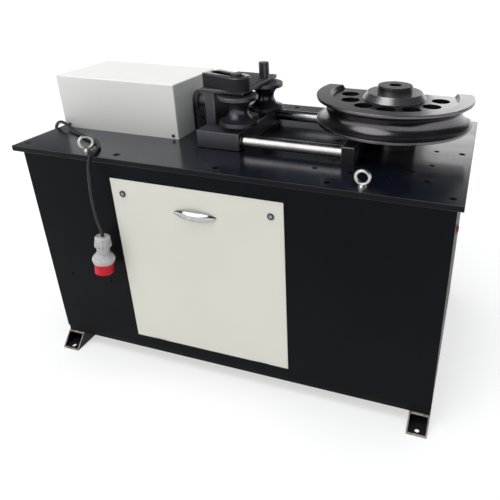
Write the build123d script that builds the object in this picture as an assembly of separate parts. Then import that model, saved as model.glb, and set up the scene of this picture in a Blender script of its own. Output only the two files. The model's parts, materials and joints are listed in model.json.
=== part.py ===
from build123d import *
import math
import os

# Bench pipe bender: a cabinet table with a grooved bend die and a roller carriage.
# Millimetres. +X runs along the front edge to the right, +Y to the back, +Z up.
# The origin is on the floor under the middle of the table.

# Line of the mechanism along X, from the table's left edge to its right edge
COVER_FROM_EDGE = 16.0
COVER_LENGTH = 418.0
SUPPORT_GAP = 2.0
SUPPORT_THICK = 14.0
NOSE_PROUD = 2.0
ROD_SHOWN = 70.0
BASE_LENGTH = 134.0
BASE_TO_DIE = 401.5
DIE_TO_EDGE = 242.5
AXIS_Y = -18.0
DIE_OFFSET_Y = 55.0

# Table and cabinet
TABLE_DEPTH = 700.0
TABLE_THICK = 16.0
TABLE_TOP = 715.0
OVERHANG_LEFT = 40.0
OVERHANG_RIGHT = 15.0
CABINET_SETBACK = 1.0
SHEET = 3.0
RAIL_WIDTH = 40.0
RAIL_HEIGHT = 20.0
RAIL_INSET = 2.0
FLOOR_THICK = 4.0
ANGLE_LEG = 50.0
ANGLE_THICK = 5.0
SEAT_GAP = 0.4
SMALL_HOLE_D = 7.0
SMALL_HOLE_FROM_LEFT = (74.0, 221.0)
SMALL_HOLE_RISE = 227.0
VENT_LENGTH = 160.0
VENT_HEIGHT = 8.0
VENT_PITCH = 22.0
VENT_COUNT = 8
VENT_RISE = 335.0
EDGE = 2.0
CUT_PAST = 1.0

# Skids under the cabinet, with an anchor hole in each sloping end
SKID_HEIGHT = 45.0
SKID_WIDTH = 60.0
SKID_WALL = 4.0
SKID_REACH = 43.0
ANCHOR_HOLE = 14.0
ANCHOR_FROM_TIP = 18.0

# Countersunk screws in the table: into the frame, the gear case and the spindle housing
SCREW_PITCH = 311.0
SCREW_FROM_EDGE = 33.0
SCREW_END_FROM_EDGE = 30.0
FRAME_SCREW_D = 10.0
FRAME_HEAD_D = 19.0
CASE_SCREW_D = 8.0
CASE_HEAD_D = 15.0
HOUSING_SCREW_D = 12.0
HOUSING_HEAD_D = 26.0
HOUSING_SCREW_X = 82.0
HOUSING_SCREW_Y = 160.0
HOUSING_SHIFT_X = 10.5
HOUSING_SHIFT_Y = -55.0
SCREW_HEAD_SINK = 1.0
SOCKET_SHARE = 0.3
HOLE_PLAY = 0.2

# Lifting eye bolts
EYE_X = 402.0
EYE_FROM_EDGE = 26.0
EYE_RING_MID = 17.5
EYE_RING_WIRE = 5.0
EYE_COLLAR_D = 25.0
EYE_COLLAR_H = 6.0
EYE_RING_HEIGHT = 29.0
EYE_SHANK_D = 10.0
EYE_SHANK_LENGTH = 15.0
EYE_NECK_TAPER = 2.0
EYE_TURNS = (43.0, 0.0, 0.0, 0.0)

# Front panel, which tilts on its rounded bottom edge
PANEL_X = -58.0
PANEL_WIDTH = 524.0
PANEL_RISE = 35.0
PANEL_DROP = 42.0
PANEL_THICK = 3.0
PANEL_GAP = 0.6
PANEL_LAP = 12.0
HOOK_WIDTH = 40.0
HOOK_OFFSET = 180.0
HOOK_THICK = 2.0
HOOK_PLAY = 0.4

# Bow handle on the panel
HANDLE_LENGTH = 130.0
HANDLE_RISE = 17.0
HANDLE_BAND = 4.0
HANDLE_HEIGHT = 27.0
HANDLE_DROP = 77.0
HANDLE_FOOT_X = 50.0
HANDLE_FOOT_R = 5.0
HANDLE_FOOT_LENGTH = 5.0

# Quarter-turn locks of the panel
LOCK_INSET = 36.0
LOCK_DROP = 44.0
LOCK_HEAD_R = 9.5
LOCK_HEAD_T = 2.5
LOCK_BARREL_R = 8.0
LOCK_PLUG_R = 5.5
LOCK_PLAY = 0.1
LOCK_SLOT = 1.6
CAM_LENGTH = 36.0
CAM_WIDTH = 12.0
CAM_THICK = 2.5
CAM_GAP = 0.8

# Push buttons on the right wall
BUTTONS_FROM_FRONT = (149.0, 304.0, 364.0)
BUTTON_DROP = 138.0
BUTTON_R = 9.3
BUTTON_PLAY = 0.3
BUTTON_PROUD = 4.0
BUTTON_TRAVEL = 3.0
BUTTON_WALL = 1.4
BUTTON_BARREL_LENGTH = 18.0
BUTTON_EDGE = 1.5
BEZEL_RIM = 3.5
BEZEL_T = 2.5
CONTACT_BLOCK = 30.0

# Pipe that it bends, and the groove for it in the die and both rollers
GROOVE_HEIGHT = 109.0
PIPE_OD = 60.3
GROOVE_PLAY = 0.7
GROOVE_SHY = 1.35

# Bend die
DIE_R = 229.0
DIE_LIP = 9.0
DIE_CUT = 67.0
DIE_RECESS = 10.0
RIM_WIDTH = 41.0
RIM_SLOPE = 7.0
DIE_HOLE_CIRCLE = 134.0
DIE_HOLE_D = 53.0
DIE_HOLE_STEP = 30.0
DIE_HOLES = 7

# Spindle, its housing and the clamp flange on the die
SPINDLE_R = 51.0
SPINDLE_RISE = 19.0
SPINDLE_SOCKET_R = 18.0
SPINDLE_SOCKET_DEPTH = 14.0
SEAT_STEP = 3.0
SEAT_THICK = 12.0
THRUST_GAP = 0.3
HOUSING_WALL = 8.0
HOUSING_STEP = 8.0
HOUSING_DROP = 44.0
HOUSING_FLANGE_THICK = 20.0
HOUSING_FLANGE_EDGE = 25.0
BUSH_WALL = 8.0
BUSH_LENGTH = 40.0
RUNNING_FIT = 0.05
PRESS_FIT = 0.02
CLAMP_R = 94.0
CLAMP_BEVEL = 14.0
CLAMP_HEIGHT = 18.0

# Gears under the table
GEAR_MODULE = 4.0
GEAR_TEETH = 51
PINION_TEETH = 17
PRESSURE_ANGLE = 20.0
GEAR_WIDTH = 40.0
GEAR_DROP = 110.0
GEAR_BACKLASH = 0.6
ROOT_SHARE = 1.25
FLANK_STEPS = 4
PINION_SHAFT_R = 16.0
PINION_SHAFT_FIT = 20.0

# Gear case hung under the table, with the reducer and motor below it
CASE_OFFSET_X = -8.25
CASE_OFFSET_Y = -37.0
CASE_SCREWS_HALF_X = 148.75
CASE_SCREWS_HALF_Y = 235.0
CASE_PITCHES_X = 3
CASE_PITCHES_Y = 4
CASE_WALL = 16.0
CASE_FLOOR = 20.0
CASE_FLOOR_GAP = 20.0
REDUCER_X = 170.0
REDUCER_Y = 150.0
REDUCER_HEIGHT = 190.0
REDUCER_EDGE_R = 12.0
MOTOR_R = 75.0
MOTOR_LENGTH = 250.0
MOTOR_FLANGE_RIM = 12.0
MOTOR_FLANGE_THICK = 12.0
MOTOR_FINS = 12
FIN_HEIGHT = 8.0
FIN_THICK = 4.0
FAN_COWL_LENGTH = 55.0
TERMINAL_BOX = 90.0
TERMINAL_DEPTH = 50.0

# Guide rods and the block that holds them
ROD_R = 17.5
ROD_HALF_SPACING = 143.0
ROD_INSET = 6.0
ROD_BLOCK_TO_DIE = 97.5
ROD_BLOCK_THICK = 36.0
ROD_BLOCK_HALF = 172.0

# Roller carriage
STROKE = 126.0
BASE_HALF = 170.0
BASE_LIFT = 2.0
BASE_HEIGHT = 50.0
GUIDE_BUSH_WALL = 3.5
GUIDE_FLANGE_RIM = 2.5
GUIDE_FLANGE_T = 6.0
UPRIGHT_THICK = 32.0
UPRIGHT_HALF = 107.0
TOP_PLATE_PAST = 4.0
TOP_PLATE_FRONT = 130.0
TOP_PLATE_REAR = 122.0
TOP_PLATE_THICK = 11.0
TOP_PLATE_EDGE = 1.0
SLOT_BLOCK_HEIGHT = 40.0
SLOT_BLOCK_WALL = 17.5
SLOT_ANGLE = -20.0
SLOT_BACK = 80.0
SLOT_FORWARD = 8.0
SLOT_END_WALL = 11.0
BASE_SLOT_BACK = 30.0

# Grooved rollers and their pins
FRONT_ROLLER_BACK = 23.0
FRONT_ROLLER_OFFSET = 110.0
REAR_ROLLER_BACK = 14.0
REAR_ROLLER_OFFSET = 63.0
ROLLER_CORE = 13.0
ROLLER_LIP = 12.0
ROLLER_GAP = 0.3
ROLLER_HEADROOM = 2.5
PIN_R = 12.0
PIN_HEAD_R = 16.0
PIN_PLAY = 0.3
ROLLER_BUSH_WALL = 3.0
COLLAR_R = 24.0
FRONT_PIN_PROUD = 6.5
REAR_PIN_PROUD = 48.0
PIN_SEAT = 11.0

# Hydraulic cylinder under the cover
CYLINDER_HEIGHT = 94.0
CYLINDER_BORE_R = 40.0
CYLINDER_WALL = 10.0
CYLINDER_HEAD_GAP = 4.0
STROKE_RESERVE = 42.0
CAP_R = 56.0
CAP_THICK = 28.0
CAP_SPIGOT = 12.0
GLAND_SPIGOT = 20.0
NOSE_R = 25.0
PISTON_LENGTH = 45.0
PISTON_START = 5.0
PISTON_ROD_R = 20.0
ROD_THREAD_R = 14.0
SUPPORT_RIM = 6.0
SUPPORT_NECK = 46.0
SUPPORT_HOLE_D = 12.0
SUPPORT_HOLE_Z = 37.0
REAR_SUPPORT_HALF = 45.0
PORT_R = 12.0
PORT_INSET = 26.0
PORT_LENGTH = 12.0

# White cover
COVER_HALF = 128.0
COVER_HEADROOM = 15.0
COVER_SHEET = 2.0
COVER_BEND_R = 4.0
COVER_HOLE_PLAY = 3.0
COVER_SCREW_INSET = 18.0
COVER_SCREW_Z = 10.0
COVER_SCREW_D = 5.0
COVER_SCREW_HEAD_D = 10.0
COVER_SCREW_HEAD_T = 2.5
COVER_TAB = 20.0

# Hydraulic power unit in the cabinet
TANK_FROM_LEFT = 70.0
TANK_LENGTH = 300.0
TANK_WIDTH = 380.0
TANK_HEIGHT = 240.0
TANK_WALL = 4.0
LID_THICK = 8.0
PUMP_MOTOR_R = 68.0
PUMP_MOTOR_HEIGHT = 220.0
PUMP_MOTOR_FINS = 10
PUMP_MOTOR_OFFSET_X = 60.0
PUMP_MOTOR_OFFSET_Y = 105.0
VALVE_LENGTH = 130.0
VALVE_WIDTH = 80.0
VALVE_HEIGHT = 60.0
HOSE_R = 8.0
HOSE_PITCH = 60.0
HOSE_BEND_R = 60.0
HOSE_STRAIGHT_TOP = 120.0
HOSE_STRAIGHT_END = 72.0
HOSE_HOLE_R = 14.0
COIL_R = 18.0
COIL_STEP = 1.0
COIL_LENGTH = 40.0

# Electrical box on the rear wall
BOX_X = -90.0
BOX_WIDTH = 280.0
BOX_HEIGHT = 320.0
BOX_DEPTH = 130.0
BOX_DROP = 29.0
BOX_WALL = 2.0
BOX_DOOR = 10.0

# Power cord, gland and plug. The cord leaves the gland in the left wall, goes over the table's
# left edge, past the left eye bolt, over the front edge and down to the plug.
CORD_D = 10.0
CORD_ROUTE = [
    (-628, -140, 633), (-648, -140, 633), (-667, -140, 643), (-680, -141, 661), (-683, -142, 685),
    (-677, -145, 708), (-662, -149, 725), (-641, -155, 733), (-614, -165, 731), (-583, -179, 725),
    (-548, -197, 722), (-512, -217, 722.5), (-474, -234, 723), (-436, -247, 723),
    (-407, -269, 723), (-386, -299, 722), (-374, -328, 721.5), (-366, -351, 722), (-361, -369, 713),
    (-358, -381, 695), (-358, -385, 673), (-361, -385, 648), (-365, -384, 621), (-366, -384, 594),
    (-365, -384.5, 569), (-362.5, -385.5, 545), (-360, -386, 527), (-356, -386, 511),
    (-351.9, -386.2, 495.6), (-353.4, -387, 481),
]
CORD_ARC_SHARE = 0.45
GLAND_R = 14.0
GLAND_STEP = 4.0
GLAND_INSIDE = 9.0
PLUG_SEAL_R = 7.0
PLUG_DISH_R = 15.0
PLUG_DISH_DEPTH = 3.0
PLUG_NUT_TOP_R = 21.0
PLUG_NUT_R = 24.0
PLUG_NUT_LENGTH = 32.0
PLUG_NUT_EDGE = 2.5
PLUG_RIBS = 14
PLUG_RIB = 3.0
PLUG_RIB_START = 7.0
PLUG_NECK_R = 18.0
PLUG_NECK_LENGTH = 21.0
PLUG_FLARE_LENGTH = 19.0
PLUG_FLARE_STEPS = 3
PLUG_FLARE_LEDGE = 1.5
PLUG_BULGE_R = 32.0
PLUG_BULGE_LENGTH = 14.0
PLUG_BULGE_STRAIGHT = 6.0
PLUG_BULGE_DRAFT = 3.0
PLUG_COLLAR_R = 26.7
PLUG_COLLAR_WALL = 2.5
PLUG_COLLAR_LENGTH = 34.0
PLUG_KEY_WIDTH = 6.0
PLUG_KEY_HEIGHT = 2.0
PLUG_PINS = 5
PLUG_PIN_R = 2.5
PLUG_PIN_CIRCLE = 15.5
PLUG_PIN_RECESS = 8.0

# Lengths, heights and planes that follow from the sizes above
NOSE_FROM_COVER = SUPPORT_GAP + SUPPORT_THICK + NOSE_PROUD
TABLE_LENGTH = (COVER_FROM_EDGE + COVER_LENGTH + NOSE_FROM_COVER + ROD_SHOWN
                + BASE_LENGTH + BASE_TO_DIE + DIE_TO_EDGE)
TABLE_LEFT = -TABLE_LENGTH / 2
TABLE_RIGHT = TABLE_LENGTH / 2
COVER_LEFT = TABLE_LEFT + COVER_FROM_EDGE
COVER_RIGHT = COVER_LEFT + COVER_LENGTH
NOSE_END = COVER_RIGHT + NOSE_FROM_COVER
BASE_LEFT = NOSE_END + ROD_SHOWN
BASE_RIGHT = BASE_LEFT + BASE_LENGTH
UPRIGHT_RIGHT = BASE_LEFT + UPRIGHT_THICK
TOP_PLATE_RIGHT = BASE_RIGHT + TOP_PLATE_PAST
DIE_X = BASE_RIGHT + BASE_TO_DIE
DIE_Y = AXIS_Y + DIE_OFFSET_Y
ROD_LEFT = BASE_LEFT + ROD_INSET
ROD_BLOCK_LEFT = DIE_X - ROD_BLOCK_TO_DIE
ROD_BLOCK_RIGHT = ROD_BLOCK_LEFT + ROD_BLOCK_THICK
CYLINDER_RIGHT = COVER_RIGHT - COVER_SHEET - CYLINDER_HEAD_GAP - CAP_THICK
CYLINDER_LEFT = CYLINDER_RIGHT - (GLAND_SPIGOT + STROKE_RESERVE + STROKE + PISTON_LENGTH
                                  + PISTON_START + CAP_SPIGOT)
CABINET_LEFT = TABLE_LEFT + OVERHANG_LEFT
CABINET_RIGHT = TABLE_RIGHT - OVERHANG_RIGHT
FRONT = -TABLE_DEPTH / 2 + CABINET_SETBACK
BACK = TABLE_DEPTH / 2 - CABINET_SETBACK
TABLE_UNDER = TABLE_TOP - TABLE_THICK
SHELL_BOTTOM = SKID_HEIGHT + RAIL_HEIGHT
FLOOR_TOP = SHELL_BOTTOM + FLOOR_THICK
EYE_Y = TABLE_DEPTH / 2 - EYE_FROM_EDGE
PANEL_BOTTOM = SHELL_BOTTOM + PANEL_RISE
PANEL_TOP = TABLE_UNDER - PANEL_DROP
PANEL_BACK_Y = FRONT - PANEL_GAP
PANEL_FRONT_Y = PANEL_BACK_Y - PANEL_THICK
BUTTON_Z = TABLE_TOP - BUTTON_DROP
BUTTON_BARREL_R = BUTTON_R + BUTTON_PLAY + BUTTON_WALL
BEZEL_R = BUTTON_BARREL_R + BEZEL_RIM
GROOVE_R = PIPE_OD / 2 + GROOVE_PLAY
GROOVE_DEPTH = GROOVE_R - GROOVE_SHY
GROOVE_Z = TABLE_TOP + GROOVE_HEIGHT
DIE_BOTTOM = GROOVE_Z - GROOVE_R - DIE_LIP
DIE_TOP = GROOVE_Z + GROOVE_R + DIE_LIP
DIE_FLOOR = DIE_TOP - DIE_RECESS
RIM_INNER_R = DIE_R - RIM_WIDTH
HOUSING_SPIGOT_R = SPINDLE_R + BUSH_WALL + HOUSING_WALL
HOUSING_R = HOUSING_SPIGOT_R + HOUSING_STEP
SEAT_R = HOUSING_R - SEAT_STEP
ROD_Z = TABLE_TOP + BASE_LIFT + BASE_HEIGHT / 2
BASE_TOP = TABLE_TOP + BASE_LIFT + BASE_HEIGHT
FRONT_ROLLER_X = BASE_RIGHT - FRONT_ROLLER_BACK
FRONT_ROLLER_Y = AXIS_Y - FRONT_ROLLER_OFFSET
REAR_ROLLER_X = BASE_RIGHT - REAR_ROLLER_BACK
REAR_ROLLER_Y = AXIS_Y + REAR_ROLLER_OFFSET
ROLLER_R = PIN_R + ROLLER_BUSH_WALL + ROLLER_CORE + GROOVE_DEPTH
ROLLER_BOTTOM = GROOVE_Z - GROOVE_R - ROLLER_LIP
ROLLER_TOP = GROOVE_Z + GROOVE_R + ROLLER_LIP
TOP_PLATE_Z = ROLLER_TOP + ROLLER_HEADROOM
SLOT_BLOCK_Z = TOP_PLATE_Z + TOP_PLATE_THICK
CYLINDER_Z = TABLE_TOP + CYLINDER_HEIGHT
COVER_TOP = CYLINDER_Z + CAP_R + COVER_HEADROOM + COVER_SHEET
GEAR_TOP = TABLE_TOP - GEAR_DROP + GEAR_WIDTH / 2
GEAR_BOTTOM = GEAR_TOP - GEAR_WIDTH
PINION_Y = DIE_Y + GEAR_MODULE * (GEAR_TEETH + PINION_TEETH) / 2
CASE_X = DIE_X + CASE_OFFSET_X
CASE_Y = DIE_Y + CASE_OFFSET_Y
CASE_FLOOR_TOP = GEAR_BOTTOM - CASE_FLOOR_GAP
CASE_BOTTOM = CASE_FLOOR_TOP - CASE_FLOOR
REDUCER_BOTTOM = CASE_BOTTOM - REDUCER_HEIGHT
TANK_X = CABINET_LEFT + TANK_FROM_LEFT + TANK_LENGTH / 2
LID_TOP = FLOOR_TOP + TANK_HEIGHT + LID_THICK
BOX_TOP = TABLE_UNDER - ANGLE_LEG - BOX_DROP


# Small makers used by every section

def block(x0, x1, y0, y1, z0, z1):
    """A box between two corners."""
    return Pos((x0 + x1) / 2, (y0 + y1) / 2, (z0 + z1) / 2) * Box(x1 - x0, y1 - y0, z1 - z0)


def round_z(x, y, z0, z1, r):
    """A round bar along Z."""
    return Pos(x, y, (z0 + z1) / 2) * Cylinder(r, z1 - z0)


def round_x(x0, x1, y, z, r):
    """A round bar along X."""
    return Pos((x0 + x1) / 2, y, z) * Rot(0, 90, 0) * Cylinder(r, x1 - x0)


def round_y(x, y0, y1, z, r):
    """A round bar along Y."""
    return Pos(x, (y0 + y1) / 2, z) * Rot(90, 0, 0) * Cylinder(r, y1 - y0)


def turned(points):
    """A solid of revolution about Z from a closed outline of (radius, height) points."""
    outline = Polyline([(r, 0, z) for r, z in points], close=True)
    return revolve(make_face(outline), Axis.Z)


def save(name, *shapes):
    """Write one node as its solids."""
    solids = [solid for shape in shapes for solid in shape.solids()]
    shape = solids[0] if len(solids) == 1 else Compound(solids)
    export_step(shape, f"parts/{name}.step")


# Skids, frame and cabinet

def skid_rail(x0):
    """A tube with sloping ends whose bottom wall carries an anchor hole at each end."""
    tip = BACK + SKID_REACH
    side = Polyline([(x0, -tip, 0), (x0, tip, 0), (x0, BACK, SKID_HEIGHT), (x0, FRONT, SKID_HEIGHT)],
                    close=True)
    rail = extrude(make_face(side), SKID_WIDTH, dir=(1, 0, 0))
    rail -= block(x0 + SKID_WALL, x0 + SKID_WIDTH - SKID_WALL, -tip, tip,
                  SKID_WALL, SKID_HEIGHT - SKID_WALL)
    for y in (-tip + ANCHOR_FROM_TIP, tip - ANCHOR_FROM_TIP):
        rail -= round_z(x0 + SKID_WIDTH / 2, y, 0, SKID_WALL + CUT_PAST, ANCHOR_HOLE / 2)
    return rail


def base_frame():
    """The welded ring of bars at the foot of the cabinet, with two cross bars."""
    x0, x1 = CABINET_LEFT + RAIL_INSET, CABINET_RIGHT - RAIL_INSET
    y0, y1 = FRONT + RAIL_INSET, BACK - RAIL_INSET
    frame = block(x0, x1, y0, y1, SKID_HEIGHT, SHELL_BOTTOM)
    frame -= block(x0 + RAIL_WIDTH, x1 - RAIL_WIDTH, y0 + RAIL_WIDTH, y1 - RAIL_WIDTH,
                   SKID_HEIGHT, SHELL_BOTTOM)
    for share in (1 / 3, 2 / 3):
        x = x0 + (x1 - x0) * share
        frame += block(x - RAIL_WIDTH / 2, x + RAIL_WIDTH / 2, y0 + RAIL_WIDTH / 2, y1 - RAIL_WIDTH / 2,
                       SKID_HEIGHT, SHELL_BOTTOM)
    return frame


def floor_plate():
    """The cabinet's floor, on the base frame inside the shell."""
    inset = SHEET + SEAT_GAP
    return block(CABINET_LEFT + inset, CABINET_RIGHT - inset, FRONT + inset, BACK - inset,
                 SHELL_BOTTOM, FLOOR_TOP)


def frame_screw_places():
    """Every screw hole round the table's edge."""
    row_y = TABLE_DEPTH / 2 - SCREW_FROM_EDGE
    end_x = TABLE_RIGHT - SCREW_END_FROM_EDGE
    xs = (-end_x, -SCREW_PITCH, 0, SCREW_PITCH, end_x)
    places = [(x, y) for x in xs for y in (-row_y, row_y)]
    return places + [(-end_x, 0), (end_x, 0)]


def framed_screw_places():
    """Those of the table's edge holes that have the frame under them."""
    return [place for place in frame_screw_places() if place[0] > CABINET_LEFT + SHEET]


def upper_frame():
    """Four angle posts and the ring of angle that the table is screwed to."""
    inset = SHEET + SEAT_GAP
    x0, x1 = CABINET_LEFT + inset, CABINET_RIGHT - inset
    y0, y1 = FRONT + inset, BACK - inset
    ring_bottom, flange_bottom = TABLE_UNDER - ANGLE_LEG, TABLE_UNDER - ANGLE_THICK
    t, leg = ANGLE_THICK, ANGLE_LEG
    frame = block(x0, x1, y0, y1, ring_bottom, TABLE_UNDER)
    frame -= block(x0 + t, x1 - t, y0 + t, y1 - t, ring_bottom, flange_bottom)
    frame -= block(x0 + leg, x1 - leg, y0 + leg, y1 - leg, ring_bottom, TABLE_UNDER)
    for cx, sx in ((x0, 1), (x1, -1)):
        for cy, sy in ((y0, 1), (y1, -1)):
            xs = sorted((cx, cx + sx * leg))
            ys = sorted((cy, cy + sy * leg))
            post = block(*xs, *ys, FLOOR_TOP, flange_bottom)
            post -= Pos(sx * t, sy * t) * block(*xs, *ys, FLOOR_TOP, flange_bottom)
            frame += post
    for x, y in framed_screw_places():
        frame -= round_z(x, y, flange_bottom, TABLE_UNDER, FRAME_SCREW_D / 2 + HOLE_PLAY)
    return frame


def panel_axis():
    """Y and Z of the line that the panel's rounded bottom edge turns on."""
    return PANEL_BACK_Y - PANEL_THICK / 2, PANEL_BOTTOM + PANEL_THICK / 2


def button_places():
    """Y of the three buttons, from the front one back."""
    return [FRONT + from_front for from_front in BUTTONS_FROM_FRONT]


def cabinet_shell():
    """Four sheet walls with the panel's opening, its two hooks, vents and holes."""
    shell = block(CABINET_LEFT, CABINET_RIGHT, FRONT, BACK, SHELL_BOTTOM, TABLE_UNDER)
    shell -= block(CABINET_LEFT + SHEET, CABINET_RIGHT - SHEET, FRONT + SHEET, BACK - SHEET,
                   SHELL_BOTTOM, TABLE_UNDER)
    half = PANEL_WIDTH / 2 - PANEL_LAP
    shell -= block(PANEL_X - half, PANEL_X + half, FRONT, FRONT + SHEET,
                   PANEL_BOTTOM + PANEL_LAP, PANEL_TOP - PANEL_LAP)
    shelf_top = PANEL_BOTTOM - HOOK_PLAY
    lip_y = PANEL_FRONT_Y - HOOK_PLAY
    for x in (PANEL_X - HOOK_OFFSET, PANEL_X + HOOK_OFFSET):
        x0, x1 = x - HOOK_WIDTH / 2, x + HOOK_WIDTH / 2
        shell += block(x0, x1, lip_y - HOOK_THICK, FRONT, shelf_top - HOOK_THICK, shelf_top)
        shell += block(x0, x1, lip_y - HOOK_THICK, lip_y, shelf_top - HOOK_THICK, panel_axis()[1])
    for from_left in SMALL_HOLE_FROM_LEFT:
        shell -= round_y(CABINET_LEFT + from_left, FRONT, FRONT + SHEET, SHELL_BOTTOM + SMALL_HOLE_RISE,
                         SMALL_HOLE_D / 2)
    for y in button_places():
        shell -= round_x(CABINET_RIGHT - SHEET, CABINET_RIGHT, y, BUTTON_Z, BUTTON_BARREL_R + PRESS_FIT)
    gland_y, gland_z = CORD_ROUTE[0][1:]
    shell -= round_x(CABINET_LEFT, CABINET_LEFT + SHEET, gland_y, gland_z, GLAND_R - GLAND_STEP + PRESS_FIT)
    for i in range(VENT_COUNT):
        z = SHELL_BOTTOM + VENT_RISE + VENT_PITCH * i
        shell -= block(TANK_X - VENT_LENGTH / 2, TANK_X + VENT_LENGTH / 2, BACK - SHEET, BACK,
                       z, z + VENT_HEIGHT)
    return shell


# Table, its screws and eye bolts

def case_screw_places():
    """The screws into the gear case's walls: a ring of rows at even pitches."""
    pitch_x = 2 * CASE_SCREWS_HALF_X / CASE_PITCHES_X
    pitch_y = 2 * CASE_SCREWS_HALF_Y / CASE_PITCHES_Y
    rows = [(i * pitch_x - CASE_SCREWS_HALF_X, side * CASE_SCREWS_HALF_Y)
            for i in range(CASE_PITCHES_X + 1) for side in (-1, 1)]
    columns = [(side * CASE_SCREWS_HALF_X, i * pitch_y - CASE_SCREWS_HALF_Y)
               for i in range(1, CASE_PITCHES_Y) for side in (-1, 1)]
    return [(CASE_X + x, CASE_Y + y) for x, y in rows + columns]


def housing_flange_middle():
    """X and Y of the middle of the housing's flange, which lies off the spindle's axis."""
    return DIE_X + HOUSING_SHIFT_X, DIE_Y + HOUSING_SHIFT_Y


def housing_screw_places():
    """The four screws into the spindle housing's flange."""
    x, y = housing_flange_middle()
    return [(x + sx * HOUSING_SCREW_X, y + sy * HOUSING_SCREW_Y) for sx in (-1, 1) for sy in (-1, 1)]


def port_places():
    """X of the two oil ports under the cylinder barrel."""
    return CYLINDER_LEFT + PORT_INSET, CYLINDER_RIGHT - PORT_INSET


def eye_places():
    """The four lifting eyes."""
    return [(sx * EYE_X, sy * EYE_Y) for sx in (-1, 1) for sy in (-1, 1)]


def screw_hole(x, y, shank_d, head_d):
    """A countersunk hole through the table."""
    shank, head = shank_d / 2 + HOLE_PLAY, head_d / 2 + HOLE_PLAY
    seat = TABLE_TOP - SCREW_HEAD_SINK
    hole = round_z(x, y, TABLE_UNDER, TABLE_TOP, shank)
    hole += round_z(x, y, seat, TABLE_TOP + CUT_PAST, head)
    return hole + Pos(x, y, seat - (head - shank) / 2) * Cone(shank, head, head - shank)


def screw(x, y, shank_d, head_d, reach):
    """A countersunk socket screw that reaches below the table by its length of thread."""
    shank, head = shank_d / 2, head_d / 2
    top = TABLE_TOP - SCREW_HEAD_SINK
    neck = top - (head - shank)
    socket_r = SOCKET_SHARE * head_d
    body = Pos(x, y, (top + neck) / 2) * Cone(shank, head, head - shank)
    body += round_z(x, y, TABLE_UNDER - reach, neck, shank)
    socket = Pos(x, y, top - socket_r) * RegularPolygon(socket_r, 6)
    return body - extrude(socket, socket_r)


def table_plate():
    """The thick top plate with every hole that goes through it."""
    plate = block(TABLE_LEFT, TABLE_RIGHT, -TABLE_DEPTH / 2, TABLE_DEPTH / 2, TABLE_UNDER, TABLE_TOP)
    for x, y in frame_screw_places():
        plate -= screw_hole(x, y, FRAME_SCREW_D, FRAME_HEAD_D)
    for x, y in case_screw_places():
        plate -= screw_hole(x, y, CASE_SCREW_D, CASE_HEAD_D)
    for x, y in housing_screw_places():
        plate -= screw_hole(x, y, HOUSING_SCREW_D, HOUSING_HEAD_D)
    for x, y in eye_places():
        plate -= round_z(x, y, TABLE_UNDER, TABLE_TOP, EYE_SHANK_D / 2 + PRESS_FIT)
    plate -= round_z(DIE_X, DIE_Y, TABLE_UNDER, TABLE_TOP, HOUSING_SPIGOT_R + PRESS_FIT)
    for x in port_places():
        plate -= round_z(x, AXIS_Y, TABLE_UNDER, TABLE_TOP, HOSE_HOLE_R)
    return plate


def table_screws():
    """The screws that reach the frame, the gear case and the spindle housing."""
    frame_reach = ANGLE_THICK + FRAME_SCREW_D / 2
    screws = [screw(x, y, FRAME_SCREW_D, FRAME_HEAD_D, frame_reach) for x, y in framed_screw_places()]
    screws += [screw(x, y, CASE_SCREW_D, CASE_HEAD_D, CASE_WALL) for x, y in case_screw_places()]
    screws += [screw(x, y, HOUSING_SCREW_D, HOUSING_HEAD_D, HOUSING_FLANGE_THICK)
               for x, y in housing_screw_places()]
    return screws


def eye_bolt(x, y, turn):
    """A lifting eye, screwed down until its ring stands turned by an angle."""
    ring_z = TABLE_TOP + EYE_RING_HEIGHT
    ring = Pos(x, y, ring_z) * Rot(0, 0, turn) * Rot(90, 0, 0) * Torus(EYE_RING_MID, EYE_RING_WIRE)
    collar_top = TABLE_TOP + EYE_COLLAR_H
    neck_height = ring_z - EYE_RING_MID - collar_top
    neck = Pos(x, y, collar_top + neck_height / 2) * Cone(EYE_COLLAR_D / 2 - EYE_NECK_TAPER,
                                                         EYE_RING_WIRE + EYE_NECK_TAPER, neck_height)
    collar = round_z(x, y, TABLE_TOP, collar_top, EYE_COLLAR_D / 2)
    shank = round_z(x, y, TABLE_TOP - EYE_SHANK_LENGTH, TABLE_TOP, EYE_SHANK_D / 2)
    return ring + neck + collar + shank


# Front panel with its handle and locks

def lock_places():
    """X and Z of the left and the right lock."""
    half = PANEL_WIDTH / 2 - LOCK_INSET
    z = PANEL_TOP - LOCK_DROP
    return (PANEL_X - half, z), (PANEL_X + half, z)


def front_panel():
    """A flat sheet whose bottom edge is fully rounded, so that it can tilt in the hooks."""
    axis_y, axis_z = panel_axis()
    x0, x1 = PANEL_X - PANEL_WIDTH / 2, PANEL_X + PANEL_WIDTH / 2
    panel = block(x0, x1, PANEL_FRONT_Y, PANEL_BACK_Y, axis_z, PANEL_TOP)
    panel += round_x(x0, x1, axis_y, axis_z, PANEL_THICK / 2)
    for x, z in lock_places():
        panel -= round_y(x, PANEL_FRONT_Y, PANEL_BACK_Y, z, LOCK_BARREL_R + PRESS_FIT)
    return panel


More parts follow.
